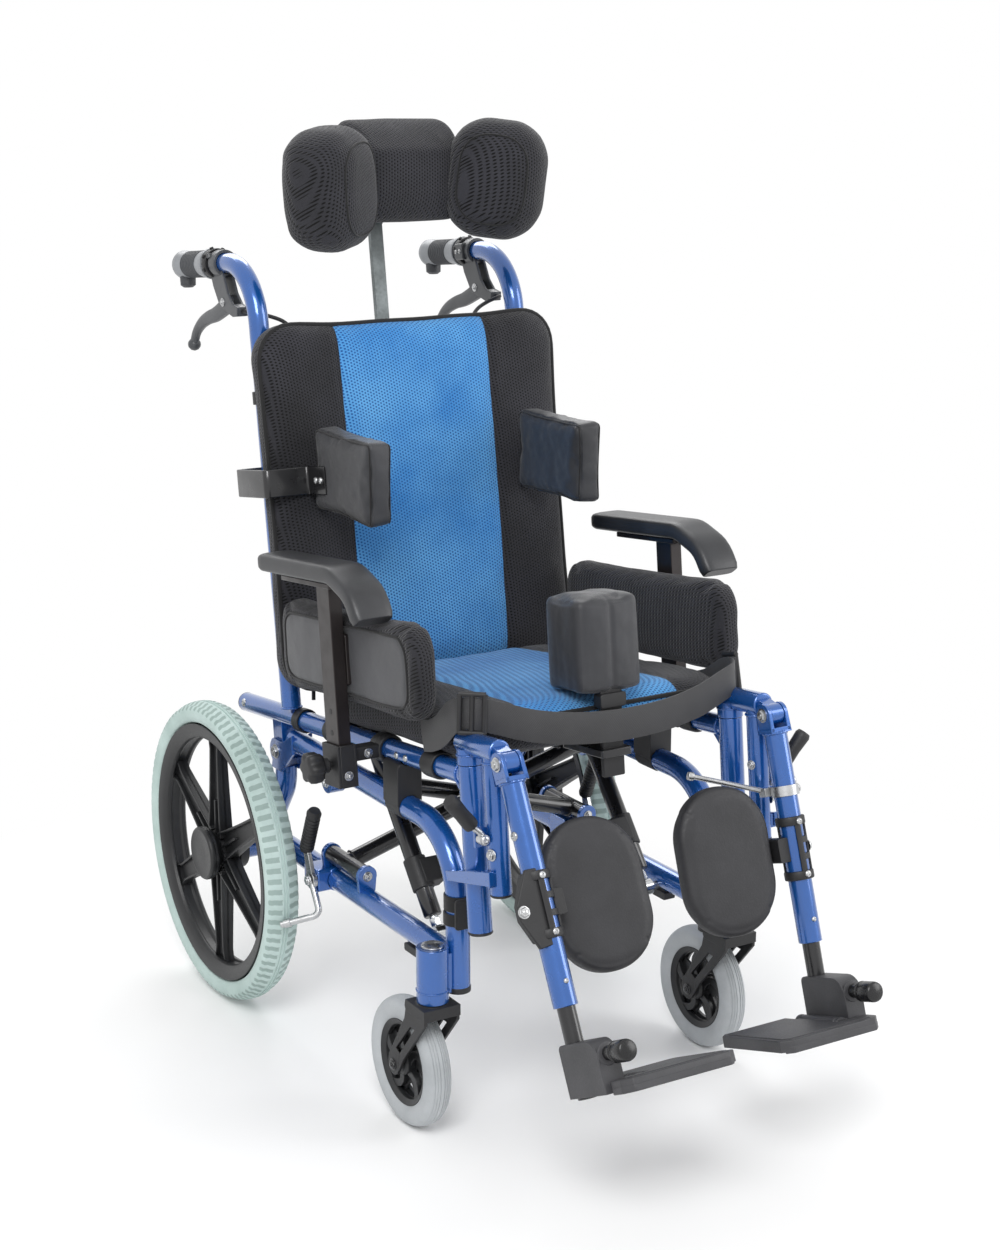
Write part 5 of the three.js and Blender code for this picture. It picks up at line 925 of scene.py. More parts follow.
# Arm rests
for side in SIDES:
    sock = [*[prism([(x0, 12), (x1, 12), (x1, 62), (x0, 62)], y0, y1, "y")
        for x0, x1, y0, y1 in ((224.6, 228.6, -302, -262), (245.4, 249.4, -302, -262),
        (228, 246, -302.4, -298.4), (228, 246, -265.6, -261.6))],
        prism(round_rect(-294, -270, 39, 55, 3), 186, 226),
        turned([(12.8, -13), (16.6, -13), (17, -11), (17, 11), (16.6, 13), (12.8, 13)], ARM_CLAMP, AFT, 36,
        closed=True), turned([(17.6, -3), (17.6, 3)], ARM_CLAMP, AFT, 32)]
    make("*_arm_bracket", sock, SEAT, side, "plastic", "seat_frame", "*_arm_socket", bevel=1.0)
    make("*_arm_bracket_bolts", [bolt((176, -282, 30), DOWN, 5, 4), bolt((237, -302.4, 26), FORE, 4.5, 3),
        bolt((206, -294, 47), FORE, 4.5, 3)], SEAT, side, "zinc", "seat_frame", bevel=0.2)
    post = [prism(round_rect(-298, -266, 16, 246, 2.5), 229, 245),
        prism(round_rect(222, 252, -316, -185, 5), 245.7, 251.6, "z"),
        turned([(8, 0), (8, 7)], (222.3, -282, 160), OUT, 24),
        prism(round_rect(-300, -264, 130, 190, 5), 222.4, 229)]
    make("*_arm_upright", post, SEAT, side, "post", "*_arm_rest", "*_arm_post", bevel=0.8)
    make("*_arm_screws", [*[turned([(3.4, 0), (3.4, 0.25), (0, 0.3)], (245, -282, z), OUT, 20)
        for z in (75, 100)], *[pan_screw((237, y, 245.7), DOWN, 4) for y in (-308, -205)],
        pan_screw((227, -252, 160), OUT, 3.4)], SEAT, side, "plastic", "*_arm_rest", bevel=0)
    # Moulded arm pad: rounded section swept along its drooping front
    spine, heads = path_of([(0, -141, 263.5), (0, -326, 263.5), (0, -372, 244), (0, -389, 215)], 46, 10)
    stack = []
    n = len(spine)
    dist = [0.0]
    for i in range(1, n):
        dist.append(dist[-1] + (spine[i] - spine[i - 1]).length)
    fine, fheads = [], []
    for k in range(37):
        s = dist[-1] * k / 36
        i = max(j for j in range(n) if dist[j] <= s + 1e-9)
        i = min(i, n - 2)
        f = (s - dist[i]) / max(dist[i + 1] - dist[i], 1e-6)
        fine.append(spine[i].lerp(spine[i + 1], f))
        fheads.append(heads[i].lerp(heads[i + 1], f).normalized())
    for k, (place, h) in enumerate(zip(fine, fheads)):
        edge = min(1.0, (k + 0.25) / 1.6, (36.25 - k) / 1.6)
        grow = math.sqrt(max(0.12, 1 - (1 - edge) ** 2))
        nrm = Vector(OUT).cross(h).normalized()
        if nrm.z < 0:
            nrm = -nrm
        half_w, half_t = 24.6 * (0.82 + 0.18 * grow), 11.4 * (0.72 + 0.28 * grow)
        ring = []
        for a in range(28):
            c, s = math.cos(2 * math.pi * a / 28), math.sin(2 * math.pi * a / 28)
            cx = math.copysign(abs(c) ** 0.42, c)
            sx = math.copysign(abs(s) ** 0.5, s)
            ring.append(place + Vector((237, 0, 0)) + Vector(OUT) * cx * half_w + nrm * sx * half_t)
        stack.append(ring)
    make("*_arm_cushion", rings(stack), SEAT, side, "arm", "*_arm_rest", "*_arm_pad", bevel=1.2)
    stack = []
    for d, grow in ((260, 0.55), (262, 0.8), (266, 0.97), (274, 1.0), (279, 0.96), (281.5, 0.8), (282, 0.5)):
        ring = []
        for t in (2 * math.pi * k / 48 for k in range(48)):
            r = (17.2 + 2.3 * math.cos(6 * t)) * grow if grow > 0.56 else 18 * grow
            ring.append(Vector((d, -282 + r * math.cos(t), 38 + r * math.sin(t))))
        stack.append(ring)
    make("*_star_knob", [rings(stack), rod(4, (246, -282, 38), (261, -282, 38), 20),
        turned([(7, 252), (9, 254), (9, 261)], (0, -282, 38), OUT, 28)], SEAT, side, "plastic", "*_arm_knob",
        "*_arm_knob", bevel=0)

# Leg rest hangers
for side in SIDES:
    x = RAIL_X
    tongue = [(-543, 70), (-543, 91), (-558, 86), *arc2(-561, 74, 12, 80, 300, 16)]
    hang = shape_join(rod(15, (x, -481, 60.2), (x, -481, 78)),
        turned([(9, -2.2), (12.4, -1.4), (13.5, 0.6), (13.5, 76), (12, 77.4), (0, 77.4)], (x, -469, 83), FORE,
        36), tube([(x, -532, 84), (x, -532, -76)], 12, 0, 32), prism(tongue, x - 8.5, x + 8.5),
        weld((x, -532, 70), UP, 12.2, 1.6), weld((x, -481, 71), UP, 14.8, 1.4),
        prism([(-541, -47), (-541, -63), (-505, -68), (-446, -76), (-443, -65), (-505, -53)], 188.9, 195.2),
        prism([(x + 4, -65), (194.4, -65), (194.4, -49), (x + 4, -49)], -539.5, -523, "y"),
        prism([(184, -22), (201, -22), (201, -2), (194, 2), (184, -2)], -526, -521, "y"))
    make("*_hanger_tubes", hang, SEAT, side, "blue", "*_hanger", "*_legrest_hanger", bevel=1.0)
    make("*_hanger_bolts", [rod(3, (195, -522, -12), (195, -538, -12)), pan_screw((195, -537, -12), FORE, 5),
        bolt((x + 11.5, -536, -30), (1, -0.2, 0), 5.5, 4), bolt((x - 11.5, -534, 12), (-1, -0.3, 0), 4.5, 3)],
        SEAT, side, "zinc", "*_hanger", bevel=0.3)
    make("*_hanger_caps", turned([(12.2, 0), (12.2, 1.8), (10.5, 3), (0, 3.1)], (x, -532, -76), DOWN, 28),
        SEAT, side, "plastic", "*_hanger", bevel=0.4)
    a, b = Vector((211, -535, 8)), Vector((236, -540, 38))
    make("*_release_grip", turned([(5, -4), (8.4, -2), (8.8, 3), (8.2, 18), (9, 34), (9.2, 38), (7.5, 42),
        (0, 43)], a, b - a, 28), SEAT, side, "plastic", "*_release", "*_legrest_release", bevel=0)
    make("*_release_rod", [hose([(195, -532, -8), (199, -532.5, -3), (205, -533.5, 2), (212, -535.2, 9)], 3.6,
        16, 5), sleeve(3.4, 6, -5, 5, (195, -532, -12), AFT, 24)], SEAT, side, "zinc", "*_release",
        slot="bright_steel", bevel=0.2)

# Leg tubes, calf pad brackets and foot rests
for side in SIDES:
    where = LEG[side]
    own = side == "right"
    body = "*_leg"
    cheek = [(-13, -21), (13, -21), *arc2(0, 0, 13, 0, 180, 16)]
    leg_shape = [turned([(10.4, 262), (13.5, 262), (13.5, 20), (0, 20)], (0, 0, 0), DOWN, 36),
        prism(cheek, 9, 13.5), prism(cheek, -13.5, -9), box((-13.5, 13.5), (-13, 13), (-21, -15.7)),
        weld((0, 0, -22), UP, 13.2, 1.9)]
    make("*_leg_upper", leg_shape, where, side, "blue", body, "*_leg_tube", bevel=1.2)
    make("*_leg_fittings", [rod(5, (-14, 0, 0), (14, 0, 0)), bolt((13.4, 0, 0), OUT, 6.5, 4.2),
        bolt((-13.4, 0, 0), INWARD, 6.5, 4.2), pan_screw((13.2, -1, -78), (1, -0.1, 0), 5.2),
        pan_screw((0, -13.3, -236), FORE, 3)], where, side, "zinc", body, bevel=0)
    if not own:
        make("left_leg_rod", [rod(3, (-98, 38, -54), (-15, 17, -86)),
            turned([(4.6, -3), (5, 0), (4.6, 4), (0, 5)], (-98, 38, -54), (-8, 2, 3)),
            sleeve(13.7, 16, -6, 6, (0, 0, -88), UP, 32), bolt((16, 0, -88), OUT, 5, 4),
            box((-22, -8), (8, 20), (-92, -82))], where, side, "zinc", body, slot="bright_steel", bevel=0.4)
    setback = 20 if own else 4
    rear = setback + 24
    a0, a1 = (-175, -70) if own else (-110, -5)
    collar = [*[turned([(13.8, d), (16.4, d), (17, d + 1.5), (17, d + 8.5), (16.4, d + 10), (13.8, d + 10)],
        (0, 0, 0), DOWN, 36, closed=True) for d in (118, 180)],
        *[arc_band(13.8, 16.2, e0, e1, -182, -126) for e0, e1 in ((a0, a0 + 26), (a1 - 26, a1))],
        *[arc_band(13.8, 16.2, a0, a1, z - 3.5, z + 3.5) for z in (-145, -164)],
        arc_band(13.8, 16.6, 60, 130, -182, -126), prism(round_rect(-26, -11, -168, -140, 3), -6, rear + 5,
        "y"), prism(round_rect(-96, -22, -168, -140, 6), rear - 4, rear + 5.8, "y")]
    make("*_calf_bracket", collar, where, side, "plastic", "*_calf", bevel=0.9)
    if own:
        make("right_calf_guard", [prism([(3, -115), (17, -115), (36, -150), (36, -166), (20, -199),
            (4, -197)], -13, -8, "y"), prism([(12, -120), (17, -120), (30, -150), (30, -166), (18, -192),
            (12, -192)], -12, 6, "y")], where, side, "plastic", "*_calf", bevel=1.2)
    make("*_calf_bolts", [pan_screw((0, -16.8, -124), FORE, 4), pan_screw((0, -16.8, -184), FORE, 4),
        bolt((30, -13, -158) if own else (16, -2, -154), FORE if own else OUT, 5.5, 4),
        bolt((-60, rear + 5.8, -154), AFT, 5.5, 4)], where, side, "zinc", "*_calf", bevel=0)
    # Foot rest
    foot = shape_join(rod(10, (0, 0, -150), (0, 0, -356), 32),
        turned([(8, 0), (10.3, 0.5), (10.3, 3), (0, 3.4)], (0, 0, -355.5), DOWN, 24))
    make("*_foot_bar", foot, where, side, "satin", "*_foot", "*_foot_tube", bevel=0.6)
    side_plate = [(14, -356), (14, -306), *arc2(8, -306, 6, 0, 90, 4), *arc2(-42, -320, 20, 90, 180, 8),
        (-62, -356)]
    block = [prism(side_plate, -12.5, 13), turned([(12.5, 0), (12.5, 1.6), (8.6, 2.6)], (0, -61, -316), FORE,
        32), *[prism([(-12, -345), (-12, -356), *arc2(-22, -350, 9, -100, -260, 12), (-20, -341.2)], y0, y1,
        "y") for y0, y1 in ((-62, -56), (8, 14))], rod(4, (-22, 14, -350), (-22, -62, -350), 20)]
    make("*_foot_block", block, where, side, "foot", "*_foot", bevel=1.6)
    make("*_foot_bumper", [turned([(8.4, 0), (7.6, 3), (7.6, 17)], (0, -61, -316), FORE, 28),
        turned([(9, 0), (11.3, 1.2), (11.5, 3), (10.7, 4), (10.7, 5.6), (11.5, 6.6), (11.5, 22), (10.8, 24.6),
        (9, 26), (0, 26.2)], (0, -77, -316), FORE, 36)], where, side, "bumper", "*_foot", bevel=0)
    # Footplate: a plain tread over a thick front lip
    far = -133 if own else -127
    outline = [(-32.5, 28), (-32.5, -66.5), (8, -66.5), (8, -86), (-2, -96), (far + 12, -96), (far, -86),
        (far, 20), (far + 8, 28)]
    lip = [(-32.1, -62), (8.4, -66.9), (8.4, -86.2), (-1.8, -96.6), (far + 11.8, -96.6), (far + 4, -89),
        (far + 14, -78)]
    tread = [(-38, 22), (-38, -72), (1, -73), (1, -84), (-4, -90), (far + 14, -90), (far + 6, -83),
        (far + 6, 17), (far + 11, 22)]
    make("*_footplate_tray", [prism(outline, -356.5, -343.6, "z"), prism(lip, -358, -350, "z"),
        prism(tread, -345, -342.6, "z"), sleeve(4.4, 9, 0, 63, (-22, 7.5, -350), FORE, 28),
        box((-34, -27), (-55, 7), (-356, -344))], where, side, "foot", "*_footplate", "*_footplate",
        bevel=1.4)


# Soft goods
def corner_factor(x, y, hx, hy, corner):
    reach = max(abs(x) / hx, abs(y) / hy)
    ex, ey = abs(x) / reach, abs(y) / reach
    cx, cy = hx - corner, hy - corner
    if ex <= cx or ey <= cy:
        return 1.0
    a = ex * ex + ey * ey
    b = -2 * (ex * cx + ey * cy)
    c = cx * cx + cy * cy - corner * corner
    return min(1.0, (-b + math.sqrt(max(b * b - 4 * a * c, 0))) / (2 * a))


def pad(hx, hy, thickness, edge, corner, crown=0.0, under=0.0, draw=0.0, step=6.0):
    """A crowned cushion in the XY plane: points and faces, with drawn-in sides and rounded edges."""
    def marks(half):
        inner = max(3, int((half - edge) / step))
        m = [(half - edge) * i / inner for i in range(inner + 1)]
        m += [half - edge * (1 - math.sin(math.pi / 2 * k / 5)) for k in range(1, 6)]
        return [-v for v in reversed(m[1:])] + m
    us, vs = marks(hx), marks(hy)
    points = []
    for top in (1, -1):
        for v in vs:
            for u in us:
                un, vn = u / hx, v / hy
                reach = max(abs(un), abs(vn))
                factor = corner_factor(u, v, hx, hy, corner) if reach > 0 else 1.0
                pull = 1 + (factor - 1) * reach
                inset = min(hx - abs(u), hy - abs(v), edge)
                drop = edge - math.sqrt(max(edge * edge - (edge - inset) ** 2, 0))
                bulge = (crown if top > 0 else under) * (1 - un * un) * (1 - vn * vn)
                h = thickness / 2 - drop * min(1.0, (thickness / 2) / edge) + bulge
                wx = 1 - draw / hx * (1 - vn * vn) * un ** 4
                wy = 1 - draw / hy * (1 - un * un) * vn ** 4
                points.append(Vector((u * pull * wx, v * pull * wy, top * h)))
    nu, nv = len(us), len(vs)

    def at(top, i, j):
        return (0 if top else nu * nv) + j * nu + i
    faces = []
    for j in range(nv - 1):
        for i in range(nu - 1):
            faces.append((at(1, i, j), at(1, i + 1, j), at(1, i + 1, j + 1), at(1, i, j + 1)))
            faces.append((at(0, i, j), at(0, i, j + 1), at(0, i + 1, j + 1), at(0, i + 1, j)))
    rim_line = ([(i, 0) for i in range(nu - 1)] + [(nu - 1, j) for j in range(nv - 1)] + [(i, nv - 1)
        for i in range(nu - 1, 0, -1)] + [(0, j) for j in range(nv - 1, 0, -1)])
    for k, (i, j) in enumerate(rim_line):
        ni, nj = rim_line[(k + 1) % len(rim_line)]
        faces.append((at(1, i, j), at(0, i, j), at(0, ni, nj), at(1, ni, nj)))
    return points, faces


QUARTER = Matrix.Rotation(math.pi / 2, 4, "Z")
SIDEWAYS = QUARTER @ STAND @ QUARTER @ QUARTER
CLOTH_FRAMES = 20
soft_list = []


def soft(name, shape, local, where, side, materials, body, node, slot, fill, cap, pressure, finish):
    """Registers a soft piece, which the cloth simulation fills by at most its cap."""
    name, body, node = (text.replace("*", side or "") for text in (name, body, node))
    matrix = place_matrix(where, side) @ local
    obj = new_object(name, new_mesh(name, [matrix @ p for p in shape[0]], shape[1], 1e-5))
    soft_list.append({"obj": obj, "materials": [M[key] for key in materials], "body": body, "node": node,
        "slot": slot, "fill": fill, "cap": cap / 1000, "pressure": pressure, "finish": finish,
        "local": matrix})


def spots(mesh):
    return np.array([v.co for v in mesh.vertices], float)


def set_spots(mesh, co):
    mesh.vertices.foreach_set("co", co.astype(np.float32).ravel())


def run_cloth():
    """Inflates the registered pieces. Each keeps its outline and what lies within its cap."""
    scene = bpy.context.scene
    rest = [spots(item["obj"].data) for item in soft_list]
    for item in soft_list:
        mod = item["obj"].modifiers.new("cloth", "CLOTH")
        s = mod.settings
        s.quality = 4
        s.mass = 0.3
        s.tension_stiffness = 18
        s.compression_stiffness = 18
        s.shear_stiffness = 8
        s.bending_stiffness = 0.6
        s.use_pressure = True
        s.uniform_pressure_force = item["pressure"]
        s.effector_weights.gravity = 0
        mod.collision_settings.use_collision = False
        mod.point_cache.frame_start = 1
        mod.point_cache.frame_end = CLOTH_FRAMES
    for f in range(1, CLOTH_FRAMES + 1):
        scene.frame_set(f)
    graph = bpy.context.evaluated_depsgraph_get()
    for item, before in zip(soft_list, rest):
        obj = item["obj"]
        puffed = bpy.data.meshes.new_from_object(obj.evaluated_get(graph))
        move = spots(puffed) - before
        obj.modifiers.clear()
        size = np.linalg.norm(move, axis=1, keepdims=True)
        move *= np.minimum(1.0, item["cap"] / np.maximum(size, 1e-9))
        to_pad = np.array(item["local"].inverted())[:3, :3]
        from_pad = np.array(item["local"])[:3, :3]
        centre = np.array(item["local"].translation)
        own, first = (before + move - centre) @ to_pad.T, (before - centre) @ to_pad.T
        for axis in (0, 1):
            own[:, axis] *= np.ptp(first[:, axis]) / np.ptp(own[:, axis])
        set_spots(obj.data, own @ from_pad.T + centre)
        bpy.data.meshes.remove(puffed)
    scene.frame_set(1)


def to_local(item):
    co = spots(item["obj"].data)
    return (np.c_[co, np.ones(len(co))] @ np.array(item["local"].inverted()).T)[:, :3]


def from_local(item, local):
    set_spots(item["obj"].data, (np.c_[local, np.ones(len(local))] @ np.array(item["local"]).T)[:, :3])
    item["obj"].data.update()


def seams(item, lines, depth, width):
    """Presses straight sewn lines into the face of a pad."""
    p = to_local(item)
    for at in lines:
        p[:, 2] -= depth * np.exp(-((p[:, 0] - at) / width) ** 2) * (p[:, 2] > 0)
    from_local(item, p)


def wrinkles(item, amount, scale, seed):
    """Small cloth folds from smooth noise, pressed along each point's normal."""
    mesh = item["obj"].data
    mesh.update()
    p, co = to_local(item), spots(mesh)
    normals = np.array([v.normal for v in mesh.vertices], float)
    for i in range(len(p)):
        q = Vector(p[i] / scale) + Vector((seed * 7.3, seed * 3.1, seed))
        f = noise.noise(Vector((q.x, q.y * 0.45, q.z))) + 0.5 * noise.noise(q * 2.1)
        co[i] += normals[i] * f * amount / 1000
    set_spots(mesh, co)
    mesh.update()


def finish_soft():
    for item in soft_list:
        obj = item["obj"]
        item["finish"](item)
        for m in item["materials"]:
            obj.data.materials.append(m)
        obj.data.shade_smooth()
        mod = obj.modifiers.new("smooth", "SUBSURF")
        mod.levels = 1
        mod.render_levels = 1
        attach(obj, item["body"])
        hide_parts(item["node"])


def panel_by(item, test):
    """Gives the faces whose middle passes the test, in the pad's own frame, another material."""
    p = to_local(item)
    for poly in item["obj"].data.polygons:
        if test(p[list(poly.vertices)].mean(axis=0)):
            poly.material_index = 1


def ring_seam(item, hx, hy, corner, depth, width, face=1):
    """Presses a sewn line that follows the pad's outline."""
    p = to_local(item)
    qx, qy = np.abs(p[:, 0]) - (hx - corner), np.abs(p[:, 1]) - (hy - corner)
    away = np.hypot(np.maximum(qx, 0), np.maximum(qy, 0)) + np.minimum(np.maximum(qx, qy), 0) - corner
    p[:, 2] -= face * depth * np.exp(-(away / width) ** 2) * (p[:, 2] * face > 0)
    from_local(item, p)


def back_finish(item):
    seams(item, (-BACK_PANEL[0], BACK_PANEL[0]), 4.2, 4.0)
    p = to_local(item)
    far = np.abs(p[:, 0])
    p[:, 2] += np.where(p[:, 2] > 0, 3.0 * np.exp(-((far - 162) / 34) ** 2), 0)
    from_local(item, p)
    wrinkles(item, 1.4, 90, 2)


def seat_finish(item):
    p = to_local(item)
    half, flare, length = SEAT_PANEL
    edge = half + flare * np.maximum(-p[:, 1] / length, 0) ** 2
    p[:, 2] -= 3.6 * np.exp(-((np.abs(p[:, 0]) - edge) / 4) ** 2) * (p[:, 2] > 0)
    from_local(item, p)
    wrinkles(item, 1.2, 80, 3)


soft("back_padding", pad(211, 227, 38, 15, 46, 4, 0, 3, 7), BACK.inverted() @ BACK_PAD, BACK, None,
    ["back_mesh"], "seat_frame", "back_cushion", "blue_mesh", 0.7, 6, 3.0, back_finish)
soft("seat_padding", pad(185, 187, 46, 17, 62, 5, 0, 3, 7), SEAT_PAD_PLACE, SEAT, None, ["seat_mesh"],
    "seat_frame", "seat_cushion", "blue_mesh", 0.75, 6, 3.0, seat_finish)


def centre_finish(item):
    p = to_local(item)
    above = np.maximum(p[:, 1] - 26, 0)
    p[:, 2] -= above * np.where(p[:, 2] > 0, 0.9, 0.6)
    from_local(item, p)
    wrinkles(item, 0.8, 60, 4)


soft("head_centre", pad(80, 63, 40, 14, 20, 2, 0, 0, 5), head_turn @ shift((0, -58, 658)) @ STAND, BACK, None,
    ["mesh"], "headrest", "headrest_pad", "black_mesh", 0.8, 5, 3.5, centre_finish)
for side in SIDES:
    hang = 641 if side == "right" else 647
    wing_local = (head_turn @ shift((117, -92, hang)) @ rot(-38, "Z") @ rot(7, "Y") @ STAND)

    def wing_finish(item):
        ring_seam(item, 46, 58, 40, 3.2, 3.2)
        wrinkles(item, 1.2, 55, 5)
    soft("*_head_wing", pad(62, 74, 88, 34, 50, 6, 3, 0, 4), wing_local, BACK, side, ["mesh"], "headrest",
        "headrest_pad", "black_mesh", 0.85, 5, 4.0, wing_finish)
    # Trunk support pads
    lat = shift((145, -147, 293)) @ rot(UPRIGHT, "X") @ SIDEWAYS

    def trunk_finish(item):
        for face in (-1, 1):
            ring_seam(item, 70, 47, 8, 1.4, 1.6, face)
        wrinkles(item, 2.2, 24, 6)
    soft("*_trunk_pad", pad(73, 50, 32, 6, 8, 2, 0, 0, 4), lat, BACK, side, ["nylon"], "seat_frame",
        "*_lateral_pad", "grey_nylon", 0.7, 3, 3.0, trunk_finish)
    # Side guards
    g_local = shift((206, -277, 158)) @ SIDEWAYS

    def guard_finish(item):
        ring_seam(item, 154, 40, 22, 2.0, 2.5)
        wrinkles(item, 1.0, 60, 8)
        panel_by(item, lambda c: c[2] > 9 and abs(c[0]) < 154 and abs(c[1]) < 40
            and (max(abs(c[0]) - 132, 0) ** 2 + max(abs(c[1]) - 18, 0) ** 2) < 484)
    soft("*_guard_pad", pad(175, 56, 28, 10, 40, 2, 2, 2, 5), g_local, SEAT, side, ["mesh", "panel"],
        "*_arm_rest", "*_side_guard", "black_mesh", 0.6, 3, 2.5, guard_finish)
    # Calf pads
    own = side == "right"
    c_local = (shift((-87, (20 if own else 4) + 12, -154)) @ rot(7 if own else -3, "Z") @ STAND)

    def calf_finish(item):
        ring_seam(item, 51, 77, 50, 1.0, 1.8)
    soft("*_calf_foam", pad(59, 85, 24, 8, 58, 1.5, 0, 0, 4), c_local, LEG[side], side, ["foam"], "*_calf",
        "*_calf_pad", "grey_foam", 0.9, 1.5, 1.0, calf_finish)


def pommel_finish(item):
    p = to_local(item)
    front = np.exp(-(p[:, 0] / 2.2) ** 2) * (p[:, 1] < -20)
    p[:, 1] += 2.6 * front
    from_local(item, p)
    ring_seam(item, 41, 37, 10, 1.6, 1.8)
    wrinkles(item, 1.8, 26, 9)


soft("pommel_block", pad(43.5, 39.5, 106, 7, 13, 2, 2, 0, 4), shift((0, -466, 171)), SEAT, None, ["nylon"],
    "pommel", "pommel", "grey_nylon", 0.8, 3, 3.0, pommel_finish)
make("pommel_stem", [prism(round_rect(-14, 14, 20, 126, 2), -498, -492, "y"),
    prism(round_rect(-17, 17, 100, 116, 3), -503, -488, "y")], SEAT, None, "plastic", "pommel", bevel=0.6)

run_cloth()
finish_soft()


# Piping and stitched lines laid over the finished pads
def pad_outline(hx, hy, corner, z):
    pts = []
    for ax, ay, start in ((1, -1, -90), (1, 1, 0), (-1, 1, 90), (-1, -1, 180)):
        for k in range(9):
            t = math.radians(start + 90 * k / 8)
            pts.append(Vector((ax * (hx - corner) + corner * math.cos(t),
                ay * (hy - corner) + corner * math.sin(t), z)))
    return pts


def piping(name, pad_name, hx, hy, corner, z, r, where, side, body):
    """A cord sewn along an outline of a finished pad, laid on the nearest point of its surface."""
    pad_name = pad_name.replace("*", side or "")
    item = next(entry for entry in soft_list if entry["obj"].name == pad_name)
    mesh = item["obj"].data
    surface = BVHTree.FromPolygons([v.co for v in mesh.vertices], [tuple(f.vertices) for f in mesh.polygons])
    to_world = item["local"]
    to_pad = to_world.inverted()
    pts = pad_outline(hx, hy, corner, z)
    laid = []
    for i, p in enumerate(pts):
        q = pts[(i + 1) % len(pts)]
        count = max(1, int((q - p).length / 14))
        for k in range(count):
            spot, normal, _, _ = surface.find_nearest(to_world @ p.lerp(q, k / count))
            laid.append(to_pad @ spot + (to_pad.to_3x3() @ normal).normalized() * r * 0.4)
    n = len(laid)
    for _ in range(2):
        laid = [(laid[i - 1] + laid[i] * 2 + laid[(i + 1) % n]) / 4 for i in range(n)]
    lift = Vector(UP)
    stack = [circle(p, lift, (laid[(i + 1) % n] - laid[i - 1]).normalized().cross(lift), r, 10)
        for i, p in enumerate(laid)]
    make(name, moved(place_matrix(where, side).inverted() @ to_world, rings(stack, loop=True)), where, side,
        "binding", body, bevel=0)


piping("back_piping", "back_padding", 211, 227, 46, 13, 2.8, BACK, None, "seat_frame")
piping("seat_piping", "seat_padding", 185, 187, 62, 16, 2.6, SEAT, None, "seat_frame")
for side in SIDES:
    piping("*_guard_piping", "*_guard_pad", 154, 40, 22, 14.4, 1.6, SEAT, side, "*_arm_rest")
    piping("*_wing_seam", "*_head_wing", 46, 58, 40, 46, 1.3, BACK, side, "headrest")
    for face, end in ((-1, "out"), (1, "in")):
        piping(f"*_trunk_seam_{end}", "*_trunk_pad", 71, 48, 7, 15 * face, 1.1, BACK, side, "seat_frame")

# Lap belt with its slide buckle and folded far end
left_stops = [(0, -512, 81), (60, -511.5, 83), (110, -509, 91), (148, -503, 102), (172, -495, 108),
    (183, -480, 110), (184.5, -462, 108), (184.5, -430, 92), (184.5, -400, 84)]
right_stops = [(-187.3, -396, 80), (-187.3, -415, 83), (-187.3, -438, 92), (-187.3, -464, 110),
    (-185.4, -482, 117), (-173.4, -497, 117), (-148, -504, 109), (-110, -508.5, 96), (-60, -511, 86)]
places, heads = smooth_path(right_stops + left_stops, 5)
make("belt_webbing", strap(places, heads, 36, 2.6, UP), SEAT, None, "webbing", "seat_frame", "lap_belt",
    bevel=0)
buckle_parts = []
for place, tangent in ((Vector((-177, -493, 118)), Vector((-20, 17, 2))),
        (Vector((186, -470, 109)), Vector((2, 20, -3)))):
    tangent.normalize()
    wide = (Vector(UP) - tangent * tangent.z).normalized()
    out = tangent.cross(wide).normalized()
    if out.dot(Vector((place.x, place.y + 400, 0))) < 0:
        out = -out
    middle = place + out * 2.4
    ends = [(tangent * d + wide * 21.5, tangent * d - wide * 21.5, 2.8) for d in (-14, 0, 14)]
    ends += [(wide * 21.5 * k - tangent * 15, wide * 21.5 * k + tangent * 15, 3.0) for k in (-1, 1)]
    buckle_parts += [rod(r, middle + a, middle + b, 12) for a, b, r in ends]
make("belt_buckle", [*buckle_parts], SEAT, None, "plastic", "seat_frame", bevel=0)
fold, fold_heads = smooth_path([(183, -486, 112), (187, -474, 111.5), (189, -458, 108), (188.6, -446, 101),
    (187.4, -440, 97)], 5)
make("belt_fold", strap(fold, fold_heads, 35, 2.4, UP), SEAT, None, "webbing", "seat_frame", bevel=0)

# Floor, lights and world
floor_mesh = bpy.data.meshes.new("floor")
floor_mesh.from_pydata([(-12, -12, 0), (12, -12, 0), (12, 12, 0), (-12, 12, 0)], [], [(0, 1, 2, 3)])
floor = new_object("floor", floor_mesh)


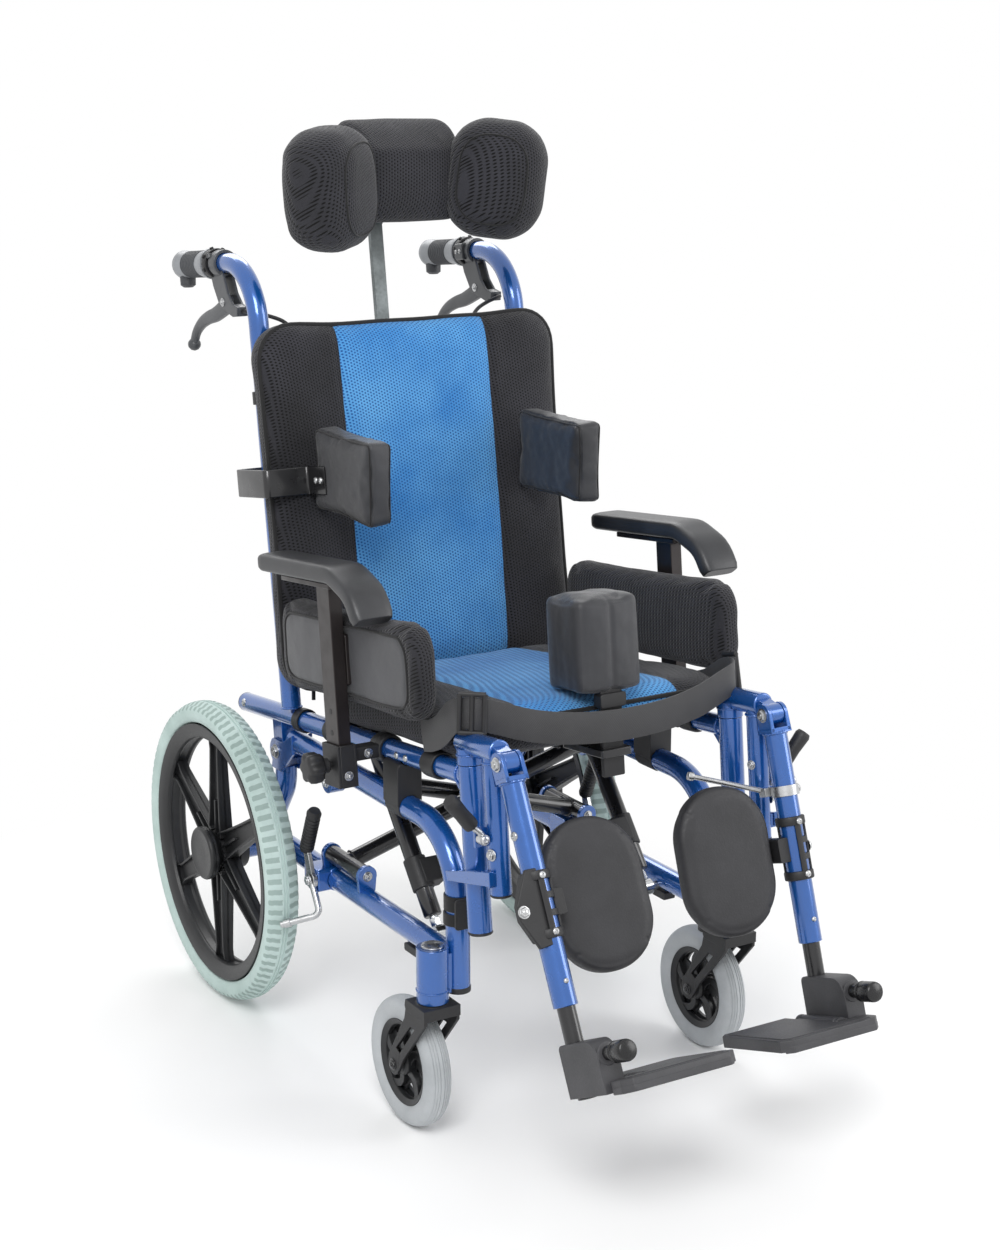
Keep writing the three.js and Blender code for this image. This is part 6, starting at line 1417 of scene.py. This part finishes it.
class World(Nodes):
    """The same short ways for the world's tree."""

    def __init__(self, world):
        world.use_nodes = True
        self.tree = world.node_tree


def fade(n, share, near, beyond, output):
    """Shows one shader near and another beyond, by share."""
    n.set(n.tree.nodes[output].inputs["Surface"],
        n.node("ShaderNodeMixShader", i0=share, i1=near, i2=beyond).outputs[0])


WHITE = (1, 1, 1, 1)
n = Nodes("floor_white")
distance = n.node("ShaderNodeVectorMath", i0=n.where)
distance.operation = "LENGTH"
n.put("Base Color", (0.95, 0.95, 0.95, 1))
n.put("Roughness", 0.9)
n.put("Specular IOR Level", 0.1)
rays = n.node("ShaderNodeLightPath").outputs
seen = n.math("MAXIMUM", rays["Is Camera Ray"], rays["Is Glossy Ray"])
fade(n, n.math("MULTIPLY", n.ramp(distance.outputs["Value"], 0.35, 1.1), seen), n.shader.outputs[0],
    n.node("ShaderNodeEmission", Color=WHITE, Strength=1.0).outputs[0], "Material Output")
floor_mesh.materials.append(n.material)

for name, place, target, size, power in (("key", (-1.7, -2.2, 2.9), (0, 0, 0.5), (1.5, 1.5), 70),
        ("fill", (2.4, -1.9, 1.6), (0, 0, 0.5), (1.4, 2.0), 34),
        ("back_light", (0.6, 2.4, 2.6), (0, 0, 0.6), (2.2, 1.4), 40)):
    data = bpy.data.lights.new(name, "AREA")
    data.shape = "RECTANGLE"
    data.size, data.size_y = size
    data.energy = power
    lamp = new_object(name, data)
    lamp.location = place
    lamp.rotation_euler = look_at(place, target)

bpy.context.scene.world = bpy.data.worlds.new("studio")
n = World(bpy.context.scene.world)
back = n.tree.nodes["Background"]
n.set(back.inputs["Color"], WHITE)
n.set(back.inputs["Strength"], 0.68)
rays = n.node("ShaderNodeLightPath").outputs
seen = n.math("MAXIMUM", rays["Is Camera Ray"], rays["Is Glossy Ray"])
fade(n, n.math("MAXIMUM", seen, rays["Is Transmission Ray"]), back.outputs[0],
    n.node("ShaderNodeBackground", Color=WHITE, Strength=1.0).outputs[0], "World Output")
bpy.context.scene.view_settings.view_transform = "Standard"
